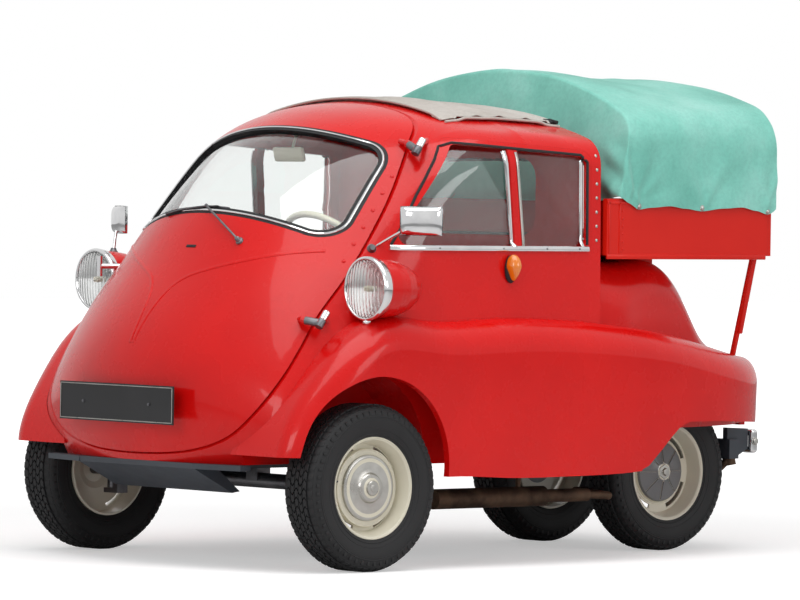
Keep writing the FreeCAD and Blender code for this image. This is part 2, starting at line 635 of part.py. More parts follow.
# ---------------------------------------------------------------- load box and canopy
t = boardThickness
loadBox = box(boxRearX, boxFrontX, -boxHalfWidth, boxHalfWidth, boxFloorZ, boxFloorZ + t)
loadBox = loadBox.fuse(box(boxFrontX - t, boxFrontX, -boxHalfWidth, boxHalfWidth, boxFloorZ, boxTopZ))
for sign in (1, -1):
    y0, y1 = sorted((sign * (boxHalfWidth - t), sign * boxHalfWidth))
    loadBox = loadBox.fuse(box(boxRearX, cheekFrontX, y0, y1, boxFloorZ, boxTopZ))
    rod = cylinder(V(-860, sign * 560, boxFloorZ + 4), V(-882, sign * 452, 590), 9)
    loadBox = loadBox.fuse(rod)
for x in (-300, -520):
    loadBox = loadBox.fuse(box(x - 30, x + 30, -440, 440, 860, boxFloorZ))


def canopyWires(inset, reachAdd):
    wires = []
    half = boxHalfWidth + canvasGap + canvasThickness
    for x, reach, crown, corner in ((-236, 446, 1250, 100), (-360, 446, 1250, 100), (-600, 442, 1400, 120), (-905, 424, 1700, 150)):
        row = (reach, crown, half, half - 6, corner)
        wires.append(fillWire(row, 1.0, inset, stationPlace(x, 1016)))
    return wires


canopyFull = Part.makeLoft(canopyWires(0.0, 0), True, False)
canopyVoid = Part.makeLoft(canopyWires(canvasThickness, 0), True, False)
bowVoid = Part.makeLoft(canopyWires(canvasThickness + 14, 0), True, False)
bowFull = Part.makeLoft(canopyWires(canvasThickness + canvasGap, 0), True, False)


def canopyFront(gap):
    return prismY([(boxFrontX + canvasGap + canvasThickness - gap, 900), (boxFrontX + canvasGap + canvasThickness - gap, 1090), (-338 - gap, 1500), (-1200, 1500), (-1200, 900)], -800, 800)


canopy = canopyFull.common(canopyFront(0)).cut(canopyVoid.common(canopyFront(canvasThickness)))
for y0, y1 in ((boxHalfWidth - t - canvasGap, boxHalfWidth + canvasGap), (-boxHalfWidth - canvasGap, -boxHalfWidth + t + canvasGap)):
    canopy = canopy.cut(box(-300, cheekFrontX, y0, y1, 900, boxTopZ + canvasGap))
save("canopy", largest(canopy))
for x in (-420, -850):
    bow = bowFull.common(box(x - 14, x + 14, -700, 700, 1030, 1500)).cut(bowVoid)
    loadBox = loadBox.fuse(bow)
gateAxis = V(boxRearX - movingGap - t / 2, 0, boxFloorZ - 4)
gatePin = 4.0
for y in (-400, 400):
    for side in (-49, 49):
        loadBox = loadBox.fuse(box(gateAxis.x - 7, boxRearX + 12, y + side - 5, y + side + 5, boxFloorZ - 12, boxFloorZ + 4))
    loadBox = loadBox.fuse(cylinder(gateAxis + V(0, y - 54, 0), gateAxis + V(0, y + 54, 0), gatePin))
loadBox = loadBox.cut(tailFull).cut(fenderBand).cut(mirrored(fenderBand)).cut(canopyFull.cut(bowFull).common(canopyFront(0)))
save("load_box", largest(loadBox.removeSplitter()))
gate = box(boxRearX - movingGap - t, boxRearX - movingGap, -boxHalfWidth + movingGap, boxHalfWidth - movingGap, boxFloorZ, boxTopZ)
for y in (-400, 400):
    gate = gate.fuse(cylinder(gateAxis + V(0, y - 38, 0), gateAxis + V(0, y + 38, 0), 9))
    gate = gate.cut(cylinder(gateAxis + V(0, y - 60, 0), gateAxis + V(0, y + 60, 0), gatePin + fitGap))
    for side in (-49, 49):
        gate = gate.cut(box(boxRearX - 80, boxRearX, y + side - 11, y + side + 11, boxFloorZ - 20, boxFloorZ + 13))
save("tailgate", gate)

# ---------------------------------------------------------------- wheels
tyreProfile = [(-50, 138), (50, 138), (52, 150), (62, 164), (69, 188), (68, 212), (60, 231), (44, 240),
               (-44, 240), (-60, 231), (-68, 212), (-69, 188), (-62, 164), (-52, 150)]
# rim and hub in one turning: along the axle outwards, radius
frontRimProfile = [(-58, 138), (-58, 132), (4, 130), (8, 60), (14, 40), (14, 16.5), (30, 16.5), (30, 0), (58, 0), (58, 20), (53, 23),
                   (49, 38), (42, 43), (40, 88), (36, 93), (30, 94), (28, 107), (14, 112), (14, 124), (44, 134), (55, 138),
                   (58, 142), (58, 147), (54, 147), (50, 138)]
rearRimProfile = [(-58, 138), (-58, 132), (4, 130), (8, 60), (14, 40), (14, 16.5), (30, 16.5), (30, 0), (50, 0), (50, 9), (42, 12),
                  (42, 24), (38, 26), (24, 88), (20, 91), (10, 94), (10, 104), (12, 124), (44, 134), (55, 138), (58, 142),
                  (58, 147), (54, 147), (50, 138)]
ventCount = 4
ventAngle = 52.0


def ventSlots(centre, side, inner, outer):
    slots = []
    for k in range(ventCount):
        corners = [V(0, side * along, radius) for along, radius in ((-20, inner), (40, inner), (40, outer), (-20, outer))]
        slot = Part.Face(Part.makePolygon(corners + corners[:1])).revolve(V(0, 0, 0), V(0, 1, 0), ventAngle)
        slot.rotate(V(0, 0, 0), V(0, 1, 0), 360 / ventCount * k + 20)
        slot.translate(centre)
        slots.append(slot)
    return slots


def drumRibs(centre, side):
    ribs = []
    for k in range(8):
        turn = FreeCAD.Rotation(V(0, 1, 0), 45 * k)
        near = turn.multVec(V(0, side * 36, 27))
        far = turn.multVec(V(0, side * 23, 86))
        ribs.append(cylinder(centre + near, centre + far, 3))
    return ribs


wheelPlaces = [
    ("front_left", frontAxleX, frontY, 1),
    ("front_right", frontAxleX, -frontY, -1),
    ("rear_left", rearAxleX, rearY, 1),
    ("rear_right", rearAxleX, -rearY, -1),
]
for name, x, y, side in wheelPlaces:
    centre = V(x, y, wheelCentreHeight)
    save("tyre_" + name, turned(tyreProfile, centre, side))
    front = name.startswith("front")
    rim = turned(frontRimProfile if front else rearRimProfile, centre, side)
    for slot in ventSlots(centre, side, 113 if front else 105, 122 if front else 118):
        rim = rim.cut(slot)
    if not front:
        for rib in drumRibs(centre, side):
            rim = rim.fuse(rib)
    save("rim_" + name, rim)
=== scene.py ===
import bpy
import math
from mathutils import Matrix, Vector


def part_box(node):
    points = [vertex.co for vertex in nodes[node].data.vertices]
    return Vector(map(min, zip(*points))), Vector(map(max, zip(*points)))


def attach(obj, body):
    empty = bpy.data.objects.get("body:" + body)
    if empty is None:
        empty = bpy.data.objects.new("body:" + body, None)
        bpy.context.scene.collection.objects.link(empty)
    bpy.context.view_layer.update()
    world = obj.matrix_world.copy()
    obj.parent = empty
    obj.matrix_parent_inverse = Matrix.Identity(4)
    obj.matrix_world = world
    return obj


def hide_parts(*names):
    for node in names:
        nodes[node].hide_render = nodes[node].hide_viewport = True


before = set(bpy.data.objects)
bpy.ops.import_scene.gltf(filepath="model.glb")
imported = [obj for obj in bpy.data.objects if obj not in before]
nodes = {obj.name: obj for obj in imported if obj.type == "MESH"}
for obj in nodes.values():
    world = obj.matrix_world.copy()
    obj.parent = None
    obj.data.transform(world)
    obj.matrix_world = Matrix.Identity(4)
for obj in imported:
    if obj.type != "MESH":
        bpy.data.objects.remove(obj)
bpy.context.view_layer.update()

tip = 0.0004    # radius where a turned piece closes on its axis
sides = ((1, "left"), (-1, "right"))


# ---- small helpers, used all the way down
def deselectAll():
    if bpy.context.object and bpy.context.object.mode != "OBJECT":
        bpy.ops.object.mode_set(mode="OBJECT")
    bpy.ops.object.select_all(action="DESELECT")


def pick(obj):
    deselectAll()
    obj.select_set(True)
    bpy.context.view_layer.objects.active = obj


def remove(obj):
    pick(obj)
    bpy.ops.object.delete()


def settle(obj):
    # the place goes into the mesh, the object stays at the origin
    pick(obj)
    bpy.ops.object.transform_apply(location=True, rotation=True, scale=True)
    return obj


def addModifier(obj, kind, **values):
    pick(obj)
    modifier = obj.modifiers.new(kind.lower(), kind)
    for key, value in values.items():
        setattr(modifier, key, value)
    bpy.ops.object.modifier_apply(modifier=modifier.name)
    return obj


def addBevel(obj, width, segments, degrees):
    return addModifier(obj, "BEVEL", width=width, segments=segments, limit_method="ANGLE", angle_limit=math.radians(degrees))


def editAll(obj, *edits):
    # each edit is an operator and its values, run on the whole mesh
    pick(obj)
    bpy.ops.object.mode_set(mode="EDIT")
    bpy.ops.mesh.select_all(action="SELECT")
    for operator, values in edits:
        operator(**values)
    bpy.ops.object.mode_set(mode="OBJECT")
    return obj


def outward(obj):
    # doubles closed, then all faces turned outwards
    return editAll(obj, (bpy.ops.mesh.remove_doubles, {"threshold": 0.00005}),
                   (bpy.ops.mesh.normals_make_consistent, {"inside": False}))


def joined(parts):
    deselectAll()
    for part in parts:
        part.select_set(True)
    bpy.context.view_layer.objects.active = parts[0]
    if len(parts) > 1:
        bpy.ops.object.join()
    return parts[0]


def copyOf(obj, move=Matrix()):
    twin = obj.copy()
    twin.data = obj.data.copy()
    bpy.context.scene.collection.objects.link(twin)
    twin.data.transform(move)
    if move.determinant() < 0:
        twin.data.flip_normals()
    return twin


def finishPiece(parts, name, material, body, degrees=35):
    # one piece from its parts, with its name, finish and body
    obj = joined(parts) if isinstance(parts, list) else parts
    obj.name = name
    obj.data.name = name
    obj.data.materials.clear()
    obj.data.materials.append(material)
    pick(obj)
    bpy.ops.object.shade_smooth_by_angle(angle=math.radians(degrees))
    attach(obj, body)
    return obj


def aim(direction):
    return Vector(direction).to_track_quat("Z", "Y").to_euler()


def roundBar(start, end, radius, count=24, edge=0.0015):
    # a bar between two points with eased ends
    start = Vector(start)
    end = Vector(end)
    deselectAll()
    bpy.ops.mesh.primitive_cylinder_add(vertices=count, radius=radius, depth=(end - start).length,
                                        location=(start + end) / 2, rotation=aim(end - start))
    return addBevel(settle(bpy.context.object), edge, 2, 50)


def block(low, high, edge=0.002):
    low = Vector(low)
    high = Vector(high)
    deselectAll()
    bpy.ops.mesh.primitive_cube_add(size=1, location=(low + high) / 2, scale=high - low)
    solid = settle(bpy.context.object)
    return addBevel(solid, edge, 2, 40) if edge else solid


def turnedPiece(rings, centre, direction, count=40):
    # rings of (distance along the axis, radius), each one extruded from the last
    deselectAll()
    bpy.ops.mesh.primitive_circle_add(vertices=count, radius=rings[0][1], fill_type="NGON")
    piece = bpy.context.object
    bpy.ops.object.mode_set(mode="EDIT")
    bpy.ops.mesh.select_all(action="SELECT")
    bpy.ops.transform.translate(value=(0, 0, rings[0][0]))
    for (before, lastRadius), (along, radius) in zip(rings, rings[1:]):
        factor = radius / lastRadius
        bpy.ops.mesh.extrude_region_move(TRANSFORM_OT_translate={"value": (0, 0, along - before)})
        bpy.ops.transform.resize(value=(factor, factor, 1))
    bpy.ops.mesh.select_all(action="SELECT")
    bpy.ops.mesh.normals_make_consistent(inside=False)
    bpy.ops.object.mode_set(mode="OBJECT")
    piece.rotation_euler = aim(direction)
    piece.location = centre
    return settle(piece)


def turnedShell(rings, thickness, centre, direction, count=64):
    # a turned skin, opened at its first ring and given its thickness
    skin = turnedPiece(rings, centre, direction, count)
    pick(skin)
    bpy.ops.object.mode_set(mode="EDIT")
    bpy.ops.mesh.select_mode(type="FACE")
    bpy.ops.mesh.select_all(action="DESELECT")
    bpy.ops.object.mode_set(mode="OBJECT")
    widest = max(skin.data.polygons, key=lambda face: face.area if len(face.vertices) > 4 else 0)
    widest.select = True
    bpy.ops.object.mode_set(mode="EDIT")
    bpy.ops.mesh.delete(type="ONLY_FACE")
    bpy.ops.object.mode_set(mode="OBJECT")
    return outward(addModifier(skin, "SOLIDIFY", thickness=thickness, offset=0.0))


def ringPiece(section, centre, direction, count=72):
    # a closed section turned round an axis into a ring
    deselectAll()
    bpy.ops.mesh.primitive_circle_add(vertices=len(section), radius=1, fill_type="NOTHING")
    ring = bpy.context.object
    for vertex, (along, radius) in zip(ring.data.vertices, section):
        vertex.co = (radius, 0, along)
    addModifier(ring, "SCREW", angle=math.tau, steps=count, render_steps=count, use_merge_vertices=True,
                merge_threshold=0.00001)
    outward(ring)
    ring.rotation_euler = aim(direction)
    ring.location = centre
    return settle(ring)


def aroundAxle(obj, count):
    # copies turned about the wheel's own axle, joined with the first
    return joined([obj] + [copyOf(obj, Matrix.Rotation(math.tau * step / count, 4, "Y")) for step in range(1, count)])


def bentRod(points, radius, resolution=6):
    # a smooth line through control points, given a round section
    deselectAll()
    bpy.ops.curve.primitive_nurbs_path_add()
    rod = bpy.context.object
    rod.data.splines.clear()
    spline = rod.data.splines.new("NURBS")
    spline.points.add(len(points) - 1)
    for point, place in zip(spline.points, points):
        point.co = (*place, 1)
    spline.order_u = 3
    spline.use_endpoint_u = True
    spline.resolution_u = resolution
    rod.data.bevel_depth = radius
    rod.data.bevel_resolution = 3
    rod.data.use_fill_caps = True
    pick(rod)
    bpy.ops.object.convert(target="MESH")
    return settle(bpy.context.object)


# ---- finishes: each one is its own small node tree
def startMaterial(name):
    material = bpy.data.materials.new(name)
    material.use_nodes = True
    tree = material.node_tree
    coords = tree.nodes.new("ShaderNodeTexCoord")
    return material, tree, tree.nodes["Principled BSDF"], coords


def setInputs(node, values):
    for key, value in values.items():
        node.inputs[key].default_value = value
    return node


def addNoise(tree, coords, scale, detail=4.0, roughness=0.6):
    noise = setInputs(tree.nodes.new("ShaderNodeTexNoise"), {"Scale": scale, "Detail": detail, "Roughness": roughness})
    tree.links.new(coords.outputs["Object"], noise.inputs["Vector"])
    return noise


def addWave(tree, coords, space, direction, scale, distortion):
    wave = tree.nodes.new("ShaderNodeTexWave")
    wave.bands_direction = direction
    wave.wave_profile = "SIN"
    setInputs(wave, {"Scale": scale, "Distortion": distortion})
    tree.links.new(coords.outputs[space], wave.inputs["Vector"])
    return wave


def addMath(tree, operation, first, second):
    node = tree.nodes.new("ShaderNodeMath")
    node.operation = operation
    for socket, source in zip(node.inputs, (first, second)):
        if isinstance(source, float):
            socket.default_value = source
        else:
            tree.links.new(source, socket)
    return node.outputs["Value"]


def addRamp(tree, source, stops):
    ramp = tree.nodes.new("ShaderNodeValToRGB")
    while len(ramp.color_ramp.elements) < len(stops):
        ramp.color_ramp.elements.new(0.5)
    for element, (place, colour) in zip(ramp.color_ramp.elements, stops):
        element.position = place
        element.color = (*colour, 1)
    tree.links.new(source, ramp.inputs["Fac"])
    return ramp.outputs["Color"]


def addRange(tree, source, low, high, fromLow=0.3, fromHigh=0.7):
    span = setInputs(tree.nodes.new("ShaderNodeMapRange"),
                     {"From Min": fromLow, "From Max": fromHigh, "To Min": low, "To Max": high})
    tree.links.new(source, span.inputs["Value"])
    return span.outputs["Result"]


def addBump(tree, shader, source, strength, distance):
    bump = setInputs(tree.nodes.new("ShaderNodeBump"), {"Strength": strength, "Distance": distance})
    tree.links.new(source, bump.inputs["Height"])
    tree.links.new(bump.outputs["Normal"], shader.inputs["Normal"])


def cloudyColour(tree, shader, coords, scale, detail, stops):
    # base colour that drifts between its stops; the same cloud is handed back for the roughness
    cloud = addNoise(tree, coords, scale, detail).outputs["Fac"]
    tree.links.new(addRamp(tree, cloud, stops), shader.inputs["Base Color"])
    return cloud


def cloudyGloss(tree, shader, cloud, low, high):
    tree.links.new(addRange(tree, cloud, low, high), shader.inputs["Roughness"])


def paintFinish(name, deep, bright, gloss, peel, coat, specular):
    # enamel: a little cloudiness in the colour, slight orange peel, clear coat on top
    material, tree, shader, coords = startMaterial(name)
    cloudyColour(tree, shader, coords, 2.3, 3.0, [(0.3, deep), (0.7, bright)])
    cloudyGloss(tree, shader, addNoise(tree, coords, 9.0, 6.0).outputs["Fac"], *gloss)
    addBump(tree, shader, addNoise(tree, coords, 260.0, 2.0).outputs["Fac"], peel, 0.0004)
    setInputs(shader, {"Coat Weight": coat, "Coat Roughness": 0.04, "Specular IOR Level": specular})
    return material


def metalFinish(name, deep, bright, gloss, grain, depth):
    # plated or bare metal with a little cloud and fine pitting
    material, tree, shader, coords = startMaterial(name)
    cloud = cloudyColour(tree, shader, coords, 14.0, 5.0, [(0.35, deep), (0.65, bright)])
    cloudyGloss(tree, shader, cloud, *gloss)
    addBump(tree, shader, addNoise(tree, coords, grain, 3.0).outputs["Fac"], depth, 0.0005)
    setInputs(shader, {"Metallic": 1.0})
    return material


def rubberFinish(name, deep, bright, grain, depth):
    material, tree, shader, coords = startMaterial(name)
    cloud = cloudyColour(tree, shader, coords, 6.0, 6.0, [(0.35, deep), (0.75, bright)])
    cloudyGloss(tree, shader, cloud, 0.5, 0.75)
    addBump(tree, shader, addNoise(tree, coords, grain, 4.0).outputs["Fac"], depth, 0.0008)
    setInputs(shader, {"Specular IOR Level": 0.35})
    return material


def glassFinish(name, tint, ribs=0.0):
    material, tree, shader, coords = startMaterial(name)
    film = cloudyColour(tree, shader, coords, 5.0, 5.0, [(0.2, tint), (0.8, [min(1.0, c * 1.03) for c in tint])])
    cloudyGloss(tree, shader, film, 0.0, 0.02)
    setInputs(shader, {"Transmission Weight": 1.0, "IOR": 1.45})
    if ribs:
        addBump(tree, shader, addWave(tree, coords, "Object", "Y", ribs, 0.0).outputs["Fac"], 0.6, 0.002)
    return material


def clothFinish(name, deep, bright, worn, threads, sheen, depth):
    # woven cloth: colour clouds, sun-bleached patches, and two crossed bands as thread relief
    material, tree, shader, coords = startMaterial(name)
    cloud = addNoise(tree, coords, 3.2, 5.0, 0.62)
    speck = addNoise(tree, coords, 85.0, 2.0, 0.7)
    mix = tree.nodes.new("ShaderNodeMix")
    mix.data_type = "RGBA"
    mix.blend_type = "MULTIPLY"
    mix.inputs["Factor"].default_value = 0.6
    tree.links.new(addRamp(tree, cloud.outputs["Fac"], [(0.3, deep), (0.52, bright), (0.75, worn)]), mix.inputs["A"])
    tree.links.new(addRamp(tree, speck.outputs["Fac"], [(0.35, (0.86, 0.86, 0.86)), (0.6, (1, 1, 1))]), mix.inputs["B"])
    tree.links.new(mix.outputs["Result"], shader.inputs["Base Color"])
    bands = [setInputs(addWave(tree, coords, "UV", direction, threads, 0.6), {"Detail": 1.0}).outputs["Fac"]
             for direction in ("X", "Y")]
    addBump(tree, shader, addMath(tree, "MULTIPLY", *bands), depth, 0.0006)
    setInputs(shader, {"Roughness": 0.82, "Specular IOR Level": 0.25, "Sheen Weight": sheen, "Sheen Roughness": 0.5})
    return material


bodyRed = paintFinish("body_enamel", (0.62, 0.003, 0.003), (0.71, 0.005, 0.004), (0.24, 0.30), 0.03, 0.30, 0.18)
boxRed = paintFinish("box_enamel", (0.64, 0.010, 0.004), (0.70, 0.014, 0.005), (0.36, 0.46), 0.05, 0.15, 0.2)
wheelCream = paintFinish("wheel_cream", (0.66, 0.62, 0.49), (0.76, 0.72, 0.60), (0.3, 0.42), 0.04, 0.5, 0.4)
frameGrey = paintFinish("frame_enamel", (0.030, 0.036, 0.045), (0.055, 0.064, 0.078), (0.45, 0.6), 0.10, 0.15, 0.4)
drumGrey = paintFinish("drum_enamel", (0.10, 0.10, 0.105), (0.17, 0.17, 0.175), (0.35, 0.5), 0.06, 0.2, 0.5)
plateBlack = paintFinish("plate_black", (0.010, 0.010, 0.011), (0.018, 0.018, 0.02), (0.3, 0.4), 0.03, 0.3, 0.4)
amberLens = paintFinish("amber_lens", (0.74, 0.17, 0.004), (0.86, 0.25, 0.008), (0.10, 0.18), 0.02, 0.8, 0.5)
redLens = paintFinish("red_lens", (0.40, 0.006, 0.004), (0.52, 0.010, 0.006), (0.10, 0.18), 0.02, 0.8, 0.5)
ivoryPlastic = paintFinish("ivory_plastic", (0.70, 0.66, 0.52), (0.78, 0.74, 0.61), (0.3, 0.4), 0.02, 0.3, 0.4)
mirrorMetal = metalFinish("lamp_mirror", (0.80, 0.80, 0.80), (0.90, 0.90, 0.90), (0.08, 0.14), 60.0, 0.02)
chrome = metalFinish("chrome_plate", (0.70, 0.70, 0.71), (0.82, 0.82, 0.82), (0.05, 0.13), 200.0, 0.01)
satinMetal = metalFinish("satin_plate", (0.38, 0.37, 0.345), (0.50, 0.49, 0.46), (0.24, 0.36), 90.0, 0.06)
darkMetal = metalFinish("dark_metal", (0.10, 0.10, 0.11), (0.22, 0.22, 0.23), (0.35, 0.5), 60.0, 0.1)
rustMetal = metalFinish("rusty_pipe", (0.055, 0.036, 0.026), (0.17, 0.11, 0.075), (0.6, 0.8), 40.0, 0.5)
engineMetal = metalFinish("cast_block", (0.12, 0.12, 0.12), (0.26, 0.26, 0.25), (0.5, 0.65), 70.0, 0.4)
tyreRubber = rubberFinish("tyre_rubber", (0.009, 0.009, 0.010), (0.022, 0.022, 0.023), 120.0, 0.12)
sealRubber = rubberFinish("seal_rubber", (0.010, 0.010, 0.011), (0.022, 0.022, 0.024), 200.0, 0.06)
clearGlass = glassFinish("clear_glass", (0.95, 0.97, 0.96))
lampGlass = glassFinish("ribbed_glass", (0.97, 0.98, 0.97), 24.0)
canvas = clothFinish("turquoise_canvas", (0.155, 0.50, 0.41), (0.235, 0.63, 0.53), (0.36, 0.74, 0.65), 300.0, 0.25, 0.35)
roofWeave = clothFinish("sunroof_cloth", (0.42, 0.38, 0.34), (0.52, 0.48, 0.44), (0.60, 0.57, 0.53), 260.0, 0.1, 0.2)
seatCloth = clothFinish("seat_cloth", (0.085, 0.085, 0.083), (0.13, 0.13, 0.125), (0.19, 0.185, 0.175), 180.0, 0.3, 0.5)

# a name ending in * stands for every node that starts with it
finishOf = [
    (bodyRed, "cabin_shell front_door fender* tail_shell headlamp_pod* side_window_frame* indicator* tail_lamp*"),
    (boxRed, "load_box tailgate"), (sealRubber, "windscreen_seal"), (lampGlass, "headlamp_lens*"),
    (clearGlass, "windscreen rear_window side_glass*"), (chrome, "mirror* hinge* door_handle overrider*"),
    (satinMetal, "wiper"), (plateBlack, "number_plate"), (frameGrey, "dash_panel chassis_frame"),
    (ivoryPlastic, "steering_wheel"), (seatCloth, "seat_bench"), (canvas, "canopy"), (roofWeave, "sunroof_fabric"),
    (darkMetal, "front_axle rear_axle knuckle*"), (engineMetal, "engine_block"), (rustMetal, "exhaust"),
    (tyreRubber, "tyre*"), (wheelCream, "rim*"),
]
painted = {}
for finish, names in finishOf:
    for pattern in names.split():
        for nodeName in nodes:
            if nodeName == pattern or (pattern.endswith("*") and nodeName.startswith(pattern[:-1])):
                painted[nodeName] = finish
for nodeName, node in nodes.items():
    node.data.materials.clear()
    node.data.materials.append(painted[nodeName])
print("finishes ready")


# ---- canopy: one sheet over the bows, with its front panel
canopy = {
    "frontX": -0.270, "frontTopX": -0.351, "slopeFrom": 1.090, "slopeTall": 0.3715, "hoopX": -0.30, "rearX": -0.926,
    "half": 0.6085, "topZ": 1.4615, "rearTopZ": 1.4395, "crown": [1.25, 1.70], "corner": [0.100, 0.150], "thickness": 0.0018,
    "hem": [(-0.926, 1.047), (-0.910, 1.036), (-0.893, 1.029), (-0.840, 1.040), (-0.777, 1.050), (-0.700, 1.046),
            (-0.611, 1.037), (-0.540, 1.044), (-0.472, 1.051), (-0.400, 1.046), (-0.348, 1.040), (-0.307, 1.058),
            (-0.280, 1.071), (-0.255, 1.076)],
    "studs": [-0.348, -0.611, -0.889], "studHeight": 0.012, "pulledFlat": 0.016, "inward": 0.0006, "boxTop": 1.085,
    "bows": [-0.440, -0.870], "sag": 0.010, "panelRows": 44, "sideRows": 118, "columns": 200, "uvSize": (1.96, 0.95),
    # each fold: where it starts, its direction, length, height and width
    "folds": [(-0.348, 58, 0.25, 0.0085, 0.020), (-0.348, 98, 0.22, 0.0060, 0.016), (-0.348, 128, 0.15, 0.0055, 0.014),
              (-0.611, 52, 0.20, 0.0060, 0.018), (-0.611, 92, 0.16, 0.0045, 0.016), (-0.611, 132, 0.24, 0.0065, 0.018),
              (-0.889, 84, 0.20, 0.0060, 0.016), (-0.889, 118, 0.26, 0.0070, 0.018), (-0.889, 147, 0.21, 0.0050, 0.015),
              (-0.285, 62, 0.16, 0.0070, 0.010), (-0.300, 84, 0.20, 0.0070, 0.012), (-0.322, 100, 0.17, 0.0050, 0.010)],
    "seams": [1.297, 1.344], "stitch": 0.032,
    "studRings": [(-0.003, 0.0100), (0.0, 0.0100), (0.0014, 0.0092), (0.0016, 0.0066), (0.0040, 0.0060), (0.0056, 0.0042),
                  (0.0060, 0.0014)],
}


def unit(value):
    return min(1.0, max(0.0, value))


def bell(distance, width):
    return math.exp(-(distance / width) ** 2)


def between(pairs, x):
    # a smooth value between listed (place, value) pairs
    if x <= pairs[0][0]:
        return pairs[0][1]
    for (x0, v0), (x1, v1) in zip(pairs, pairs[1:]):
        if x <= x1:
            part = (x - x0) / (x1 - x0)
            return v0 + (v1 - v0) * part * part * (3 - 2 * part)
    return pairs[-1][1]


def canopyArch(x):
    # half of the hoop from the hem to the ridge, as (y, z) points a few millimetres apart
    part = unit((-0.38 - x) / 0.545)
    crown, corner = (near + (far - near) * part for near, far in (canopy["crown"], canopy["corner"]))
    middle = canopy["topZ"] + (canopy["rearTopZ"] - canopy["topZ"]) * part - crown
    cornerY = canopy["half"] - corner
    cornerZ = middle + math.sqrt((crown - corner) ** 2 - cornerY ** 2)
    meet = math.atan2(cornerY, cornerZ - middle)
    low = between(canopy["hem"], x)
    points = [(canopy["half"], low + (cornerZ - low) * k / 40) for k in range(40)]
    for k in range(24):
        turn = (math.pi / 2 - meet) * k / 24
        points.append((cornerY + corner * math.cos(turn), cornerZ + corner * math.sin(turn)))
    for k in range(41):
        turn = meet * (1 - k / 40)
        points.append((crown * math.sin(turn), middle + crown * math.cos(turn)))
    return points


def alongLine(points, part):
    lengths = [0.0]
    for (a, b), (c, d) in zip(points, points[1:]):
        lengths.append(lengths[-1] + math.hypot(c - a, d - b))
    want = part * lengths[-1]
    for k in range(1, len(points)):
        if want <= lengths[k] + 1e-9:
            rest = (want - lengths[k - 1]) / max(1e-9, lengths[k] - lengths[k - 1])
            (a, b), (c, d) = points[k - 1], points[k]
            return a + (c - a) * rest, b + (d - b) * rest
    return points[-1]


def slopeX(z):
    rise = max(0.0, (z - canopy["slopeFrom"]) / canopy["slopeTall"])
    return canopy["frontX"] + (canopy["frontTopX"] - canopy["frontX"]) * rise


def softFolds(x, z, side):
    # ridges that rise from each stud and fade, deeper near it
    overHem = z - between(canopy["hem"], x)
    overStud = overHem - canopy["studHeight"]
    out = 0.0
    for k, (start, degrees, length, height, width) in enumerate(canopy["folds"]):
        turn = math.radians(degrees + (7 if side < 0 else 0) * math.sin(k * 2.1))
        forward = (x - start) * math.cos(turn) + overStud * math.sin(turn)
        across = (start - x) * math.sin(turn) + overStud * math.cos(turn) + 0.012 * math.sin(forward * 22 + k)
        if -0.02 < forward < length:
            fade = min(1.0, (forward + 0.02) / 0.04) * (1 - forward / length) ** 0.8
            spread = width * (0.5 + 1.5 * max(0.0, forward) / length)
            out += height * fade * (bell(across, spread) - 0.55 * bell(across - 1.9 * spread, spread))
    for stud in canopy["studs"]:
        out -= 0.0022 * bell(x - stud, 0.045) * bell(overStud, 0.05)
    out += bell(overHem, 0.05) * 0.0045 * (0.5 + 0.5 * math.cos((x + 0.348) * math.tau / 0.27 + math.pi))
    out += 0.0016 * math.sin(x * 31 + z * 9 + side) * bell(z - 1.2, 0.12)
    # each stud pulls the cloth flat against the box, and the cloth never goes into the box side
    for stud in canopy["studs"]:
        out *= 1 - bell(math.hypot(x - stud, overStud), canopy["pulledFlat"])
    return max(out, -canopy["inward"]) if z < canopy["boxTop"] else out


def panelPlace(half, part):
    # front panel: from its lower edge out to the front hoop, all in one slanting plane
    archY, archZ = alongLine(canopyArch(canopy["hoopX"]), half)
    lowY = canopy["half"] * (1 - half)
    lowZ = 1.064 + 0.006 * math.sin(lowY * 23) * (1 - half) + 0.012 * (1 - half) ** 6
    y = lowY + (archY - lowY) * part
    z = lowZ + (max(archZ, lowZ) - lowZ) * part
    belly = math.sin(math.pi * part) * math.sin(math.pi * min(1.0, half * 0.5 + 0.02))
    gather = bell(abs(y) - 0.56, 0.045) * bell(z - 1.12, 0.10)
    x = slopeX(z) + 0.004 * belly + 0.0035 * math.sin(y * 17 + z * 9) * belly
    return x + 0.009 * gather * math.sin((z - 1.06) * 70 + abs(y) * 30), y, z


def sidePlace(half, part, side):
    # sides and top: back along the car from the slanting front, sagging between the bows
    startX = slopeX(max(alongLine(canopyArch(canopy["hoopX"]), half)[1], 1.083))
    x = startX + (canopy["rearX"] - startX) * part
    y, z = alongLine(canopyArch(x), half)
    level = unit((half - 0.30) / 0.25)
    upright = 1 - level
    front, back = canopy["bows"]
    sag = canopy["sag"] * math.sin(math.pi * unit((x - front) / (back - front))) ** 2
    z += level * (0.0022 * math.sin(x * 27 + y * 8 + side) * math.sin(y * 11 + 1.3) - sag)
    if level < 1.0:
        y += upright * (softFolds(x, z, side) - 0.5 * sag * bell(z - 1.24, 0.09))
    for seam in canopy["seams"]:
        y += 0.0016 * bell(z - seam, 0.0045) * upright
    if half < 0.2:
        # doubled cloth below the stitch line
        y += 0.0012 / (1 + math.exp((z - between(canopy["hem"], x) - canopy["stitch"]) / 0.0015))
    if x < canopy["rearX"] + 0.026:
        y += 0.0010 * upright
        z += 0.0010 * level
    return x, y, z


def addGrid(across, along):
    deselectAll()
    bpy.ops.mesh.primitive_grid_add(x_subdivisions=across, y_subdivisions=along, size=1, calc_uvs=True)
    return bpy.context.object


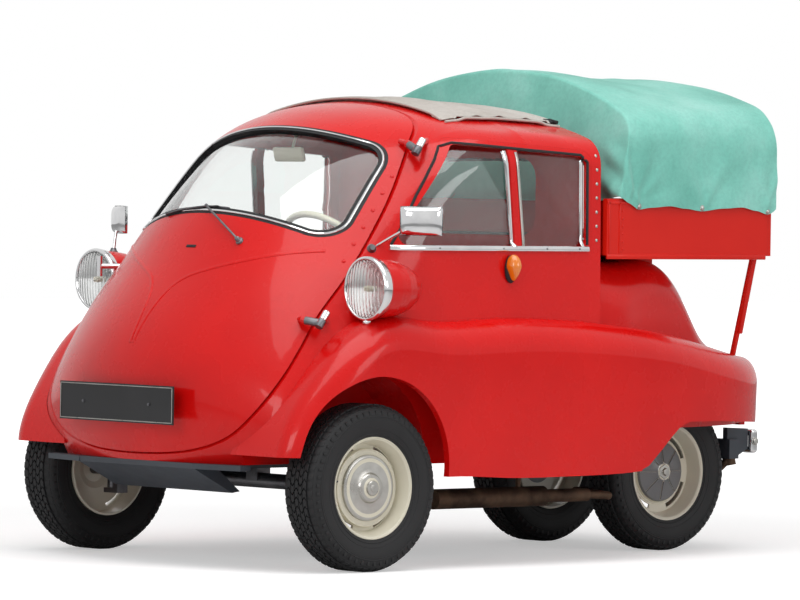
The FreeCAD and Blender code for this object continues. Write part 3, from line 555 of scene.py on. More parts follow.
rows = canopy["panelRows"] + canopy["sideRows"]
columns = canopy["columns"]
cover = addGrid(columns, rows)
for index, vertex in enumerate(cover.data.vertices):
    row, column = divmod(index, columns + 1)
    t = column / columns
    side = 1 if t <= 0.5 else -1
    half = t * 2 if t <= 0.5 else (1 - t) * 2
    if row <= canopy["panelRows"]:
        x, y, z = panelPlace(half, row / canopy["panelRows"])
    else:
        x, y, z = sidePlace(half, (row - canopy["panelRows"]) / canopy["sideRows"], side)
    vertex.co = (x, side * y, z)
uvs = cover.data.uv_layers.active.data
for loop in cover.data.loops:
    row, column = divmod(loop.vertex_index, columns + 1)
    uvs[loop.index].uv = (column / columns * canopy["uvSize"][0], row / rows * canopy["uvSize"][1])
cover.data.update()
# the corner between panel and sides is eased, then the cloth gets its thickness
editAll(cover, (bpy.ops.mesh.vertices_smooth, {"factor": 0.5, "repeat": 2}),
        (bpy.ops.mesh.normals_make_consistent, {"inside": False}))
addModifier(cover, "SOLIDIFY", thickness=canopy["thickness"], offset=0.0, use_even_offset=False)
finishPiece(cover, "canopy_cover", canvas, "body", 60)
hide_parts("canopy")

studs = []
for side, name in sides:
    for x in canopy["studs"]:
        at = (x, side * (canopy["half"] + 0.0012), between(canopy["hem"], x) + canopy["studHeight"])
        studs.append(turnedPiece(canopy["studRings"], at, (0, side, 0), 24))
studSet = finishPiece(studs, "canopy_studs", satinMetal, "body", 40)


# ---- tyres: carcass, zigzag ribs, shoulder lugs and a ribbed wall
tyre = {
    "radius": 0.2405, "floor": 0.2345, "pitches": 58, "ribWidth": 0.0140, "zigzag": 0.0042, "shoulder": 0.0445,
    "ribs": [-0.034, -0.017, 0.0, 0.017, 0.034],
    "halfProfile": [(0.0440, 0.2345), (0.0520, 0.2330), (0.0610, 0.2275), (0.0675, 0.216), (0.0693, 0.205),
                    (0.0690, 0.190), (0.0655, 0.172), (0.060, 0.150), (0.052, 0.1385)],
    # raised rings on the wall: radius, half their width, distance out from the middle
    "wallRings": [(0.2055, 0.0020, 0.0692), (0.2000, 0.0012, 0.0692), (0.1700, 0.0012, 0.0652), (0.1560, 0.0022, 0.0615)],
}
wheels = [
    {"name": "front_left", "at": (0.730, 0.600, 0.240), "out": 1, "front": True},
    {"name": "front_right", "at": (0.730, -0.600, 0.240), "out": -1, "front": True},
    {"name": "rear_left", "at": (-0.770, 0.260, 0.240), "out": 1, "front": False},
    {"name": "rear_right", "at": (-0.770, -0.260, 0.240), "out": -1, "front": False},
]


def addTorus(radius, width, at, count, sectionCount):
    deselectAll()
    bpy.ops.mesh.primitive_torus_add(major_radius=radius, minor_radius=width, major_segments=count,
                                     minor_segments=sectionCount, location=(0, at, 0), rotation=(math.pi / 2, 0, 0))
    return settle(bpy.context.object)


def treadBlock(across, long, low, high, bend):
    # a block at the top of the tyre, bent in the middle so that its row zigzags
    width = tyre["ribWidth"]
    solid = block((-long / 2, across - width / 2, low), (long / 2, across + width / 2, high), 0.0)
    editAll(solid, (bpy.ops.mesh.subdivide, {"number_cuts": 1}))
    for vertex in solid.data.vertices:
        vertex.co.x += bend * (1 - 2 * abs(vertex.co.y - across) / (width / 2))
        if vertex.co.z > (low + high) / 2 + 0.0001:
            vertex.co.x *= 0.95
    return addBevel(solid, 0.0008, 1, 50)


profile = [(-across, radius) for across, radius in tyre["halfProfile"]][::-1] + tyre["halfProfile"]
parts = [ringPiece(profile, (0, 0, 0), (0, 1, 0), 120)]
long = math.tau * tyre["radius"] / tyre["pitches"]
for k, across in enumerate(tyre["ribs"]):
    odd = k % 2
    rib = treadBlock(across, long * 0.84, tyre["floor"] - 0.003, tyre["radius"], tyre["zigzag"] * (1 if odd else -1))
    rib.data.transform(Matrix.Rotation(math.tau / tyre["pitches"] * 0.5 * odd, 4, "Y"))
    parts.append(aroundAxle(rib, tyre["pitches"]))
for side, name in sides:
    lug = block((-long * 0.34, tyre["shoulder"], -0.006), (long * 0.34, 0.0600, 0.0025), 0.0008)
    lug.data.transform(Matrix.Translation((0, tyre["shoulder"], tyre["floor"])) @ Matrix.Rotation(math.radians(-24), 4, "X")
                       @ Matrix.Translation((0, -tyre["shoulder"], 0)))
    lug = joined([lug, block((-long * 0.16, 0.0625, 0.2090), (long * 0.16, 0.0694, 0.2215), 0.0008)])
    if side < 0:
        lug.data.transform(Matrix.Scale(-1, 4, (0, 1, 0)))
        lug.data.flip_normals()
    parts.append(aroundAxle(lug, tyre["pitches"]))
    for radius, width, out in tyre["wallRings"]:
        parts.append(addTorus(radius, width, side * (out - 0.0006), 120, 8))
tyreModel = joined(parts)
for wheel in wheels:
    twin = copyOf(tyreModel, Matrix.Translation(wheel["at"]))
    finishPiece(twin, "tread_" + wheel["name"], tyreRubber, "wheel_" + wheel["name"], 32)
    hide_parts("tyre_" + wheel["name"])
remove(tyreModel)
print("tyres moulded")


# ---- wheel centres: pressed cap in front, ribbed drum behind, cream rings and a valve
frontCap = {
    "rings": [(0.0285, tip), (0.0285, 0.0900), (0.0305, 0.0944), (0.0335, 0.0950), (0.0375, 0.0940), (0.0400, 0.0905),
              (0.0405, 0.0870), (0.0398, 0.0830), (0.0410, 0.0700), (0.0421, 0.0560), (0.0426, 0.0470), (0.0436, 0.0440),
              (0.0480, 0.0415), (0.0505, 0.0385), (0.0512, 0.0300), (0.0518, 0.0245), (0.0535, 0.0225), (0.0580, 0.0215),
              (0.0598, 0.0195), (0.0602, 0.0150), (0.0602, tip)],
    "dimple": [(0.0600, tip), (0.0600, 0.0110), (0.0612, 0.0104), (0.0616, 0.0085), (0.0616, tip)],
    "beads": [(0.1090, 0.0030, 0.0262), (0.1445, 0.0022, 0.0580)],
}
rearDrum = {
    "rings": [(0.0080, tip), (0.0080, 0.0915), (0.0110, 0.0925), (0.0206, 0.0915), (0.0246, 0.0885), (0.0315, 0.0570),
              (0.0378, 0.0285), (0.0395, 0.0260), (0.0395, tip)],
    "nut": [(0.0380, tip), (0.0380, 0.0240), (0.0425, 0.0240), (0.0440, 0.0225), (0.0440, 0.0130), (0.0500, 0.0115),
            (0.0512, 0.0095), (0.0512, tip)],
    "washer": [(0.0375, tip), (0.0375, 0.0262), (0.0402, 0.0262), (0.0408, 0.0250), (0.0408, tip)],
    "ribs": 8, "ribFoot": 0.030, "ribTop": 0.086, "ribLean": 0.235,
    "beads": [(0.1470, 0.0024, 0.0560), (0.0985, 0.0024, 0.0100)],
}
valve = {"foot": (0.118, 0.018, 0.020), "tip": (0.126, 0.046, 0.021), "radius": 0.0032}


def hubPiece(rings, count):
    return turnedPiece(rings, (0, 0, 0), (0, 1, 0), count)


def onWheel(parts, wheel, name, material):
    # from a wheel drawn at the origin facing left to its place and side
    piece = joined(parts)
    turn = Matrix.Rotation(0 if wheel["out"] > 0 else math.pi, 4, "Z")
    piece.data.transform(Matrix.Translation(wheel["at"]) @ turn)
    finishPiece(piece, name + "_" + wheel["name"], material, "wheel_" + wheel["name"])


for wheel in wheels:
    if wheel["front"]:
        onWheel([hubPiece(frontCap["rings"], 72), hubPiece(frontCap["dimple"], 32)], wheel, "hub_cap", satinMetal)
        beads = frontCap["beads"]
    else:
        rib = block((-0.0016, 0.0240, rearDrum["ribFoot"]), (0.0016, 0.0285, rearDrum["ribTop"]), 0.0006)
        for vertex in rib.data.vertices:
            vertex.co.y += (rearDrum["ribTop"] - vertex.co.z) * rearDrum["ribLean"]
        drum = [hubPiece(rearDrum["rings"], 72), aroundAxle(rib, rearDrum["ribs"])]
        onWheel(drum, wheel, "brake_drum", drumGrey)
        nut = addBevel(hubPiece(rearDrum["nut"], 6), 0.0008, 2, 20)
        onWheel([nut, hubPiece(rearDrum["washer"], 48)], wheel, "hub_nut", satinMetal)
        beads = rearDrum["beads"]
    rings = [addTorus(radius, width, at, 96, 10) for radius, width, at in beads]
    onWheel(rings, wheel, "rim_beads", wheelCream)
    stem = roundBar(valve["foot"], valve["tip"], valve["radius"], 16, 0.0006)
    onWheel([stem], wheel, "valve", sealRubber)
print("wheel centres fitted")


# ---- headlamps: bowl, bulb, ribbed glass in a plated rim with its clamp screw
headlamp = {
    "at": (0.7210, 0.617, 0.808),
    "glass": [(0.0120, 0.0838), (0.0165, 0.0800), (0.0205, 0.0690), (0.0240, 0.0500), (0.0258, 0.0280), (0.0264, tip)],
    "bowl": [(0.0004, tip), (0.0010, 0.0140), (0.0022, 0.0330), (0.0050, 0.0540), (0.0092, 0.0720), (0.0126, 0.0815)],
    "bulb": [(0.0010, 0.0090), (0.0060, 0.0090), (0.0064, 0.0070), (0.0110, 0.0080), (0.0160, 0.0065), (0.0185, tip)],
    "rim": [(-0.012, 0.0895), (0.004, 0.0925), (0.0100, 0.0935), (0.0150, 0.0920), (0.0180, 0.0885), (0.0180, 0.0850),
            (0.0155, 0.0828), (0.0120, 0.0822), (-0.012, 0.0822)],
    "screw": [(0, tip), (0, 0.0045), (0.0030, 0.0045), (0.0042, 0.0034), (0.0042, tip)],
}
for side, name in sides:
    x, y, z = headlamp["at"]
    centre = Vector((x, side * y, z))
    glass = turnedShell(headlamp["glass"], 0.0022, centre, (1, 0, 0))
    finishPiece(glass, "lamp_glass_" + name, lampGlass, "body", 60)
    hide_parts("headlamp_lens_" + name)
    bowl = turnedShell(headlamp["bowl"], 0.0008, centre, (1, 0, 0))
    finishPiece(bowl, "lamp_bowl_" + name, mirrorMetal, "body", 60)
    bulb = turnedPiece(headlamp["bulb"], centre, (1, 0, 0), 24)
    finishPiece(bulb, "lamp_bulb_" + name, ivoryPlastic, "body", 50)
    rim = addBevel(ringPiece(headlamp["rim"], centre, (1, 0, 0)), 0.0012, 2, 25)
    clamp = block(centre + Vector((-0.004, -0.006, -0.101)), centre + Vector((0.016, 0.006, -0.090)), 0.002)
    screw = turnedPiece(headlamp["screw"], centre + Vector((0.016, 0, -0.0965)), (1, 0, 0), 20)
    finishPiece([rim, clamp, screw], "lamp_rim_" + name, chrome, "body")
print("lamps fitted")


# ---- points found on the skin of the pieces as they stand
def skinPoint(names, start, direction):
    best = None
    start = Vector(start)
    direction = Vector(direction).normalized()
    for name in names:
        node = nodes[name]
        inverse = node.matrix_world.inverted()
        hit, place, normal, face = node.ray_cast(inverse @ start, (inverse.to_3x3() @ direction).normalized())
        if hit:
            place = node.matrix_world @ place
            far = (place - start).length
            if best is None or far < best[0]:
                best = (far, place, (node.matrix_world.to_3x3() @ normal).normalized())
    return best


def sideSkin(x, z, side, names):
    # the outside of one flank; a point that falls in a joint gap is taken beside it
    names = [n + ("_left" if side > 0 else "_right") if n.startswith("side_") else n for n in names]
    for dx, dz in ((0, 0), (0.003, 0), (-0.003, 0), (0, 0.003), (0, -0.003), (0.006, -0.006)):
        found = skinPoint(names, (x + dx, side * 0.95, z + dz), (0, -side, 0))
        if found and found[1].y * side > 0.3:
            return Vector((x, found[1].y, z)), found[2]


def roofPoint(x, y, rise=0.0):
    found = skinPoint(["sunroof_fabric", "cabin_shell"], (x, y, 1.7), (0, 0, -1))
    return found[1] + Vector((0, 0, rise)), found[2]


def bridged(points, steps):
    # straight runs between listed points, cut into short steps
    line = []
    for start, stop in zip(points, points[1:]):
        line += [tuple(a + (b - a) * k / steps for a, b in zip(start, stop)) for k in range(steps)]
    return line + [points[-1]]


def stripAlong(places, normals, width, height, sink=0.001):
    # a flat moulding that follows points on a skin: width across, height proud of it
    section = ((-1, -sink), (-1, height * 0.55), (-0.62, height), (0.62, height), (1, height * 0.55), (1, -sink))
    deselectAll()
    bpy.ops.mesh.primitive_plane_add(size=1)
    strip = bpy.context.object
    vertices = []
    faces = []
    count = len(places)
    for k, (place, normal) in enumerate(zip(places, normals)):
        ahead = (places[min(k + 1, count - 1)] - places[max(k - 1, 0)]).normalized()
        across = normal.cross(ahead).normalized() * width / 2
        vertices += [tuple(place + across * spread + normal.normalized() * rise) for spread, rise in section]
        if k:
            for m in range(6):
                n = (m + 1) % 6
                faces.append(((k - 1) * 6 + m, (k - 1) * 6 + n, k * 6 + n, k * 6 + m))
    faces += [tuple(range(6)), tuple(range((count - 1) * 6, count * 6))[::-1]]
    strip.data.clear_geometry()
    strip.data.from_pydata(vertices, [], faces)
    strip.data.update()
    return outward(strip)


# ---- side windows: rubber lip, plated sill, leaning divider and sliding channels
sideWindow = {
    "lip": [(0.330, 1.2300), (0.080, 1.2130), (-0.130, 1.2010), (-0.1545, 1.1800), (-0.1545, 0.9360)],
    "lipFront": [(0.576, 0.9330), (0.535, 0.9850), (0.478, 1.0760), (0.424, 1.1500), (0.368, 1.2190), (0.330, 1.2300)],
    "sill": [(0.583, 0.9240), (0.400, 0.9240), (0.200, 0.9240), (0.000, 0.9240), (-0.160, 0.9240)],
    "divider": [(0.1330, 0.9280), (0.1400, 1.0000), (0.1500, 1.1000), (0.1610, 1.2080)],
    "pane": [(0.0990, 0.9280), (0.1060, 1.0000), (0.1160, 1.1000), (0.1270, 1.2060)],
    "channel": [(-0.1380, 0.9280), (-0.1380, 1.0500), (-0.1380, 1.1850)],
    "screws": [(0.180, 0.9235), (0.010, 0.9235), (-0.120, 0.9235), (0.420, 0.9235)],
    "screwRings": [(0.004, tip), (0.004, 0.0032), (0.0078, 0.0026), (0.0086, tip)],
    "skins": ["side_glass", "side_window_frame", "cabin_shell", "front_door"],
}


def windowStrip(key, side, width, height, lift, steps):
    out = Vector((0, side, 0.22)).normalized()
    places = [sideSkin(x, z, side, sideWindow["skins"])[0] + out * lift for x, z in bridged(sideWindow[key], steps)]
    return stripAlong(places, [out] * len(places), width, height)


for side, name in sides:
    lips = [windowStrip("lip", side, 0.008, 0.004, 0.0005, 10), windowStrip("lipFront", side, 0.008, 0.004, 0.0005, 10)]
    finishPiece(lips, "window_lip_" + name, sealRubber, "body", 45)
    bright = [windowStrip("sill", side, 0.0150, 0.0055, 0.0010, 10), windowStrip("divider", side, 0.0170, 0.0075, 0.0010, 6),
              windowStrip("channel", side, 0.0090, 0.0050, 0.0010, 6)]
    finishPiece(bright, "window_trim_" + name, chrome, "body", 45)
    paneEdge = windowStrip("pane", side, 0.0100, 0.0020, 0.0010, 6)
    finishPiece(paneEdge, "pane_edge_" + name, satinMetal, "body", 45)
    screws = [turnedPiece(sideWindow["screwRings"], sideSkin(x, z, side, sideWindow["skins"])[0], (0, side, 0.1), 14)
              for x, z in sideWindow["screws"]]
    finishPiece(screws, "window_screws_" + name, darkMetal, "body", 40)
print("side windows trimmed")


# ---- windscreen: plated strip let into the rubber
screen = {"lean": math.atan2(0.270, 0.200), "base": (0.756, 0.975), "low": -0.012, "high": 0.370, "halfLow": 0.462,
          "halfHigh": 0.434, "inset": 0.0115, "corner": 0.078, "width": 0.0064, "height": 0.0042, "reach": 0.62}


def screenRay(across, height):
    c = math.cos(screen["lean"])
    s = math.sin(screen["lean"])
    start = Vector((screen["base"][0] - height * c + 0.5 * s, across, screen["base"][1] + height * s + 0.5 * c))
    return start, Vector((-s, 0, -c))


inset = screen["inset"]
low, high = screen["low"] + inset, screen["high"] - inset
wideLow, wideHigh = screen["halfLow"] - inset, screen["halfHigh"] - inset
corners = [Vector(corner) for corner in ((-wideLow, low), (wideLow, low), (wideHigh, high), (-wideHigh, high))]
path = []
for k in range(4):
    # a round at each corner, then the straight run to the next one
    here, following = corners[k], corners[(k + 1) % 4]
    back = (corners[k - 1] - here).normalized()
    onward = (following - here).normalized()
    opening = back.angle(onward)
    reach = screen["corner"] / math.tan(opening / 2)
    middle = here + (back + onward).normalized() * screen["corner"] / math.sin(opening / 2)
    first = here + back * reach - middle
    last = here + onward * reach - middle
    begin = math.atan2(first.y, first.x)
    sweep = (math.atan2(last.y, last.x) - begin + math.pi) % math.tau - math.pi
    for step in range(17):
        turn = begin + sweep * step / 16
        path.append(middle + Vector((math.cos(turn), math.sin(turn))) * screen["corner"])
    nextOpening = (-onward).angle((corners[(k + 2) % 4] - following).normalized())
    start = here + onward * reach
    stop = following - onward * screen["corner"] / math.tan(nextOpening / 2)
    path += [start + (stop - start) * step / 24 for step in range(1, 24)]
places = []
normals = []
for point in path + path[:1]:
    start, ahead = screenRay(point.x, point.y)
    found = skinPoint(["windscreen_seal", "windscreen", "front_door", "cabin_shell"], start, ahead)
    if found and found[0] < screen["reach"]:
        places.append(found[1])
        normals.append(-ahead)
strip = stripAlong(places, normals, screen["width"], screen["height"])
finishPiece(strip, "screen_strip", chrome, "door", 45)
print("windscreen strip laid")


# ---- plate: raised border and two bolts, left blank
plate = {"face": 1.1440, "low": 0.410, "high": 0.521, "half": 0.260, "edge": 0.004, "line": 0.0025,
         "bolt": [(0.0, tip), (0.0, 0.0050), (0.0032, 0.0044), (0.0042, tip)], "bolts": (-0.150, 0.150),
         "boltHeight": 0.4655}
wide = plate["half"] - plate["edge"]
low, high = plate["low"] + plate["edge"], plate["high"] - plate["edge"]
line = plate["line"]
border = [block((plate["face"] + 0.0005, y0, z0), (plate["face"] + 0.0022, y1, z1), 0.0004) for y0, z0, y1, z1 in (
    (-wide, low, wide, low + line), (-wide, high - line, wide, high),
    (-wide, low, line - wide, high), (wide - line, low, wide, high))]
finishPiece(border, "plate_border", satinMetal, "door", 45)
bolts = [turnedPiece(plate["bolt"], (plate["face"] + 0.0004, y, plate["boltHeight"]), (1, 0, 0), 18) for y in plate["bolts"]]
finishPiece(bolts, "plate_bolts", darkMetal, "door", 40)


# ---- door mirrors: domed plated head on its arm, with a ball joint and a collar
mirrorShape = {
    "half": Vector((0.062, 0.009, 0.042)), "crown": 0.009, "cuts": 14, "squareness": 6, "rounding": 0.16, "arm": 0.0046,
    "ball": [(-0.010, tip), (-0.010, 0.006), (-0.006, 0.009), (0.006, 0.009), (0.010, 0.006), (0.010, tip)],
    "collar": [(-0.004, tip), (-0.004, 0.0135), (0.003, 0.0135), (0.006, 0.0105), (0.014, 0.0075), (0.014, tip)],
}
mirrors = [
    {"name": "left", "at": (0.555, 0.651, 1.003), "wide": (-0.71, 0.71, 0), "back": (0.71, 0.71, 0),
     "arm": [(0.618, 0.500, 0.915), (0.600, 0.560, 0.952), (0.568, 0.636, 0.992)], "collar": (0.45, 0.85, 0.25)},
    {"name": "right", "at": (0.627, -0.636, 0.988), "wide": (0.41, 0.91, 0), "back": (0.91, -0.41, 0),
     "arm": [(0.652, -0.632, 0.872), (0.650, -0.633, 0.920), (0.634, -0.635, 0.978)], "collar": (0, 0, 1)},
]


def roundedRectangle(vertex, half, power, amount):
    # pulls the corners of a flat box in until its outline is a squarish oval
    u = vertex.co.x / half.x
    w = vertex.co.z / half.z
    pull = (u ** power + w ** power) ** (1 / power)
    if pull > 0:
        keep = 1 - amount * (1 - max(abs(u), abs(w)) / pull)
        vertex.co.x *= keep
        vertex.co.z *= keep
    return u, w


for mirror in mirrors:
    shell = block(-mirrorShape["half"], mirrorShape["half"], 0.0)
    editAll(shell, (bpy.ops.mesh.subdivide, {"number_cuts": mirrorShape["cuts"]}))
    for vertex in shell.data.vertices:
        u, w = roundedRectangle(vertex, mirrorShape["half"], mirrorShape["squareness"], mirrorShape["rounding"])
        if vertex.co.y > 0:
            dome = max(0.0, 1 - u ** 4) ** 0.5 * max(0.0, 1 - w ** 4) ** 0.5
            vertex.co.y = -0.004 + (0.013 + mirrorShape["crown"]) * dome
    outward(shell)
    wide = Vector(mirror["wide"]).normalized()
    back = Vector(mirror["back"]).normalized()
    if wide.cross(back).z < 0:
        wide = -wide
    shell.data.transform(Matrix.Translation(mirror["at"]) @ Matrix((wide, back, (0, 0, 1))).transposed().to_4x4())
    arm = bentRod(mirror["arm"], mirrorShape["arm"])
    ball = turnedPiece(mirrorShape["ball"], mirror["arm"][-1], (0, 0, 1), 20)
    head = finishPiece([shell, arm, ball], "mirror_head_" + mirror["name"], chrome, "body", 50)
    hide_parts("mirror_" + mirror["name"])
    towards = Vector(mirror["collar"])
    foot = skinPoint(["cabin_shell", "front_door", "side_window_frame_left", "headlamp_pod_right"],
                     Vector(mirror["arm"][0]) + towards * 0.12, -towards)[1]
    collar = turnedPiece(mirrorShape["collar"], foot, towards, 24)
    finishPiece(collar, "mirror_collar_" + mirror["name"], darkMetal, "body", 40)
print("mirrors fitted")


# ---- door hinges: dark sleeves over the door's knuckles and leaf arms
hinge = {"top": Vector((0.454, 0.522, 1.216)), "low": Vector((0.842, 0.556, 0.718)),
         "topReach": Vector((-0.014, -0.058, 0.020)), "lowReach": Vector((0.028, -0.052, 0.010)),
         "sleeve": 0.0121, "arm": 0.0117,
         "cap": [(-0.0304, tip), (-0.0300, 0.0060), (-0.0285, 0.0100), (-0.0262, 0.0112), (-0.0262, tip)]}
hingeLine = (hinge["low"] - hinge["top"]).normalized()
sleeves = []
caps = []
for centre, reach in ((hinge["top"], hinge["topReach"]), (hinge["low"], hinge["lowReach"])):
    sleeves.append(roundBar(centre + hingeLine * 0.0013, centre + hingeLine * 0.0272, hinge["sleeve"], 28, 0.0016))
    start = centre + hingeLine * 0.013
    sleeves.append(roundBar(start + reach * 0.10, start + reach * 0.80, hinge["arm"], 28, 0.0016))
    caps.append(turnedPiece(hinge["cap"], centre, hingeLine, 24))
finishPiece(sleeves, "hinge_sleeves", darkMetal, "door", 40)
finishPiece(caps, "hinge_caps", chrome, "body", 40)


# ---- wiper: pivot, arm and blade lying on the glass, as places across and up the screen
wiper = {
    "pivot": (0.199, -0.090), "joint": (0.007, 0.011), "arm": 0.0034, "spine": 0.0022, "bladeTall": 0.0070,
    "blade": [(-0.185, -0.008), (-0.10, -0.001), (0.0, 0.0065), (0.092, 0.0155)],
    "post": [(-0.002, tip), (-0.002, 0.0120), (0.004, 0.0115), (0.006, 0.0078), (0.016, 0.0070), (0.0185, 0.0045),
             (0.0185, tip)],
}


def onScreen(across, height, lift):
    start, ahead = screenRay(across, height)
    found = skinPoint(["windscreen", "windscreen_seal", "front_door"], start, ahead)
    return found[1] - ahead * lift, -ahead


armPoints = [onScreen(*point, 0.010 + 0.004 * math.sin(math.pi * k / 6))[0]
             for k, point in enumerate(bridged([wiper["pivot"], wiper["joint"]], 6))]
blade = [onScreen(*point, 0.0012) for point in bridged(wiper["blade"], 5)]
squeegee = stripAlong([place for place, up in blade], [up for place, up in blade], 0.0040, wiper["bladeTall"])
finishPiece(squeegee, "wiper_rubber", sealRubber, "door", 45)
spine = bentRod([place + up * 0.0078 for place, up in blade[::3]], wiper["spine"])
arm = bentRod(armPoints, wiper["arm"])
post = turnedPiece(wiper["post"], *onScreen(*wiper["pivot"], 0.0), 28)
jointX, jointZ = wiper["joint"][0] + 0.006, wiper["joint"][1] - 0.003
knuckle = roundBar(onScreen(jointX, jointZ, 0.004)[0], onScreen(jointX, jointZ, 0.015)[0], 0.0048, 18, 0.0008)
wiperPiece = finishPiece([arm, spine, post, knuckle], "wiper_arm", darkMetal, "door", 45)
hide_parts("wiper")
print("wiper and hinges fitted")


# ---- nose pressings on the door: two swept creases, and the vent slot
crease = {"half": [(1.0920, 0.006, 0.640), (1.0230, 0.014, 0.747), (0.9630, 0.055, 0.824), (0.9160, 0.170, 0.861),
                   (0.8610, 0.275, 0.887), (0.7330, 0.438, 0.913)],
          "width": 0.011, "height": 0.0022, "sink": 0.003, "towards": Vector((-0.4, 0, -0.25))}
beads = []
for side, name in sides:
    line = bentRod([(x, side * y, z) for x, y, z in crease["half"]], 0.0, 8)
    found = [skinPoint(["front_door"], vertex.co - crease["towards"], crease["towards"]) for vertex in line.data.vertices]
    places = [hit[1] for hit in found if hit]
    normals = [hit[2] for hit in found if hit]
    beads.append(stripAlong(places, normals, crease["width"], crease["height"], crease["sink"]))
    remove(line)
pressings = addBevel(joined(beads), 0.0010, 2, 20)
finishPiece(pressings, "door_pressings", bodyRed, "door", 60)
found = skinPoint(["front_door"], (1.29, 0.030, 1.165), crease["towards"])
# the vent opening is a black block set on the skin: its black is painted shade for the hollow of the slot
slot = block((-0.0022, -0.020, -0.0045), (0.0022, 0.020, 0.0045), 0.0018)
slot.data.transform(Matrix.Translation(found[1]) @ found[2].to_track_quat("X", "Z").to_matrix().to_4x4())
finishPiece(slot, "door_slot", sealRubber, "door", 45)


# ---- side indicators and tail lamps
indicator = {"at": (0.151, 0.866), "lens": (0.0215, 0.0260, 0.0370), "base": (0.0222, 0.0125, 0.0410)}
tailLamp = {
    "at": (-1.1143, 0.300, 0.528),
    "base": [(0.0, tip), (0.0, 0.0262), (0.0080, 0.0262), (0.0090, 0.0248), (0.0090, tip)],
    "dome": [(0.0085, tip), (0.0085, 0.0238), (0.0125, 0.0232), (0.0165, 0.0200), (0.0192, 0.0140), (0.0202, 0.0060),
             (0.0203, tip)],
}


def addBall(scale, place, rings):
    deselectAll()
    bpy.ops.mesh.primitive_uv_sphere_add(segments=40, ring_count=rings, radius=1, location=place, scale=scale)
    return settle(bpy.context.object)


for side, name in sides:
    place, normal = sideSkin(*indicator["at"], side, ["cabin_shell"])
    lens = addBall(indicator["lens"], (0, 0, 0), 24)
    for vertex in lens.data.vertices:
        # a drop: narrower and longer below
        if vertex.co.z < 0:
            taper = -vertex.co.z / indicator["lens"][2]
            vertex.co.x *= 1 - 0.45 * taper
            vertex.co.y *= 1 - 0.35 * taper
            vertex.co.z *= 1.08
    lens.data.transform(Matrix.Translation(place + Vector((0, side * 0.0165, 0.004))))
    finishPiece(lens, "indicator_lens_" + name, amberLens, "body", 60)
    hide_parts("indicator_" + name)
    pad = addBall(indicator["base"], place + Vector((0, side * 0.0045, -0.002)), 20)
    finishPiece(pad, "indicator_base_" + name, sealRubber, "body", 60)
    x, y, z = tailLamp["at"]
    back = turnedPiece(tailLamp["base"], (x, side * y, z), (-1, 0, 0), 40)
    finishPiece(back, "tail_lamp_base_" + name, chrome, "body", 40)
    dome = turnedPiece(tailLamp["dome"], (x, side * y, z), (-1, 0, 0), 40)
    finishPiece(dome, "tail_lamp_lens_" + name, redLens, "body", 60)
    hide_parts("tail_lamp_" + name)
print("lamps and pressings done")


# ---- rows of rivets, each head set on the skin
rivetRows = {
    # the pillar rivets are red-painted; the pale plated metal given them is a painted highlight, for the light dots
    # they show
    "pillar": {"line": [(-0.194, 0.950), (-0.194, 1.200)], "size": 0.0052, "on": "cabin_shell", "finish": satinMetal},
    "box": {"line": [(-0.288, 0.925), (-0.288, 1.060)], "size": 0.0036, "on": "load_box", "finish": boxRed},
}
doorRivets = {"count": 6, "from": 0.16, "to": 0.66, "size": 0.0060, "inside": Vector((0.0, -0.052, 0.0)),
              "towards": Vector((-0.25, -0.25, -0.22))}


def rivetHead(place, normal, size):
    rings = [(-0.001, tip), (-0.001, size), (0.0006, size), (0.0018, size * 0.75), (0.0025, size * 0.3), (0.0026, tip)]
    return turnedPiece(rings, place, normal, 14)


for side, name in sides:
    for key, row in rivetRows.items():
        heads = [rivetHead(*sideSkin(x, z, side, [row["on"]]), row["size"]) for x, z in bridged(row["line"], 6)]
        finishPiece(heads, key + "_rivets_" + name, row["finish"], "body", 50)
heads = []
for k in range(doorRivets["count"]):
    part = doorRivets["from"] + (doorRivets["to"] - doorRivets["from"]) * k / (doorRivets["count"] - 1)
    place = hinge["top"] + (hinge["low"] - hinge["top"]) * part + doorRivets["inside"]
    found = skinPoint(["front_door"], place - doorRivets["towards"], doorRivets["towards"])
    if found:
        heads.append(rivetHead(found[1], found[2], doorRivets["size"]))
finishPiece(heads, "door_pillar_rivets", bodyRed, "door", 50)


# ---- load box: lower flange, top lip, two upright folds, bolts below and a stay down to the tail
loadBox = {
    "half": 0.604, "proud": 0.0022,
    # strips on the side, as x from and to, z from and to, and edge: flange, lip, two upright folds
    "strips": [(-0.888, -0.224, 0.895, 0.910, 0.0016), (-0.888, -0.224, 1.058, 1.066, 0.0012),
               (-0.236, -0.230, 0.910, 1.066, 0.0012), (-0.278, -0.273, 0.910, 1.066, 0.0012)],
    "bolt": [(0, tip), (0, 0.0075), (0.0045, 0.0075), (0.0058, 0.006), (0.0058, tip)],
    "bolts": (-0.84, -0.62, -0.44), "boltY": 0.585, "boltZ": 0.9065,
    "stay": [(-0.883, 0.5595, 0.902), (-0.900, 0.4850, 0.6700)], "stayRadius": 0.0102,
}
pieces = []
for side, name in sides:
    low, high = sorted((side * (loadBox["half"] - 0.004), side * (loadBox["half"] + loadBox["proud"])))
    for x0, x1, z0, z1, edge in loadBox["strips"]:
        pieces.append(block((x0, low, z0), (x1, high, z1), edge))
    for x in loadBox["bolts"]:
        pieces.append(turnedPiece(loadBox["bolt"], (x, side * loadBox["boltY"], loadBox["boltZ"]), (0, 0, -1), 6))
    pieces.append(roundBar(*[(x, side * y, z) for x, y, z in loadBox["stay"]], loadBox["stayRadius"], 24, 0.001))
finishPiece(pieces, "load_box_edges", boxRed, "body", 40)
print("load box dressed")


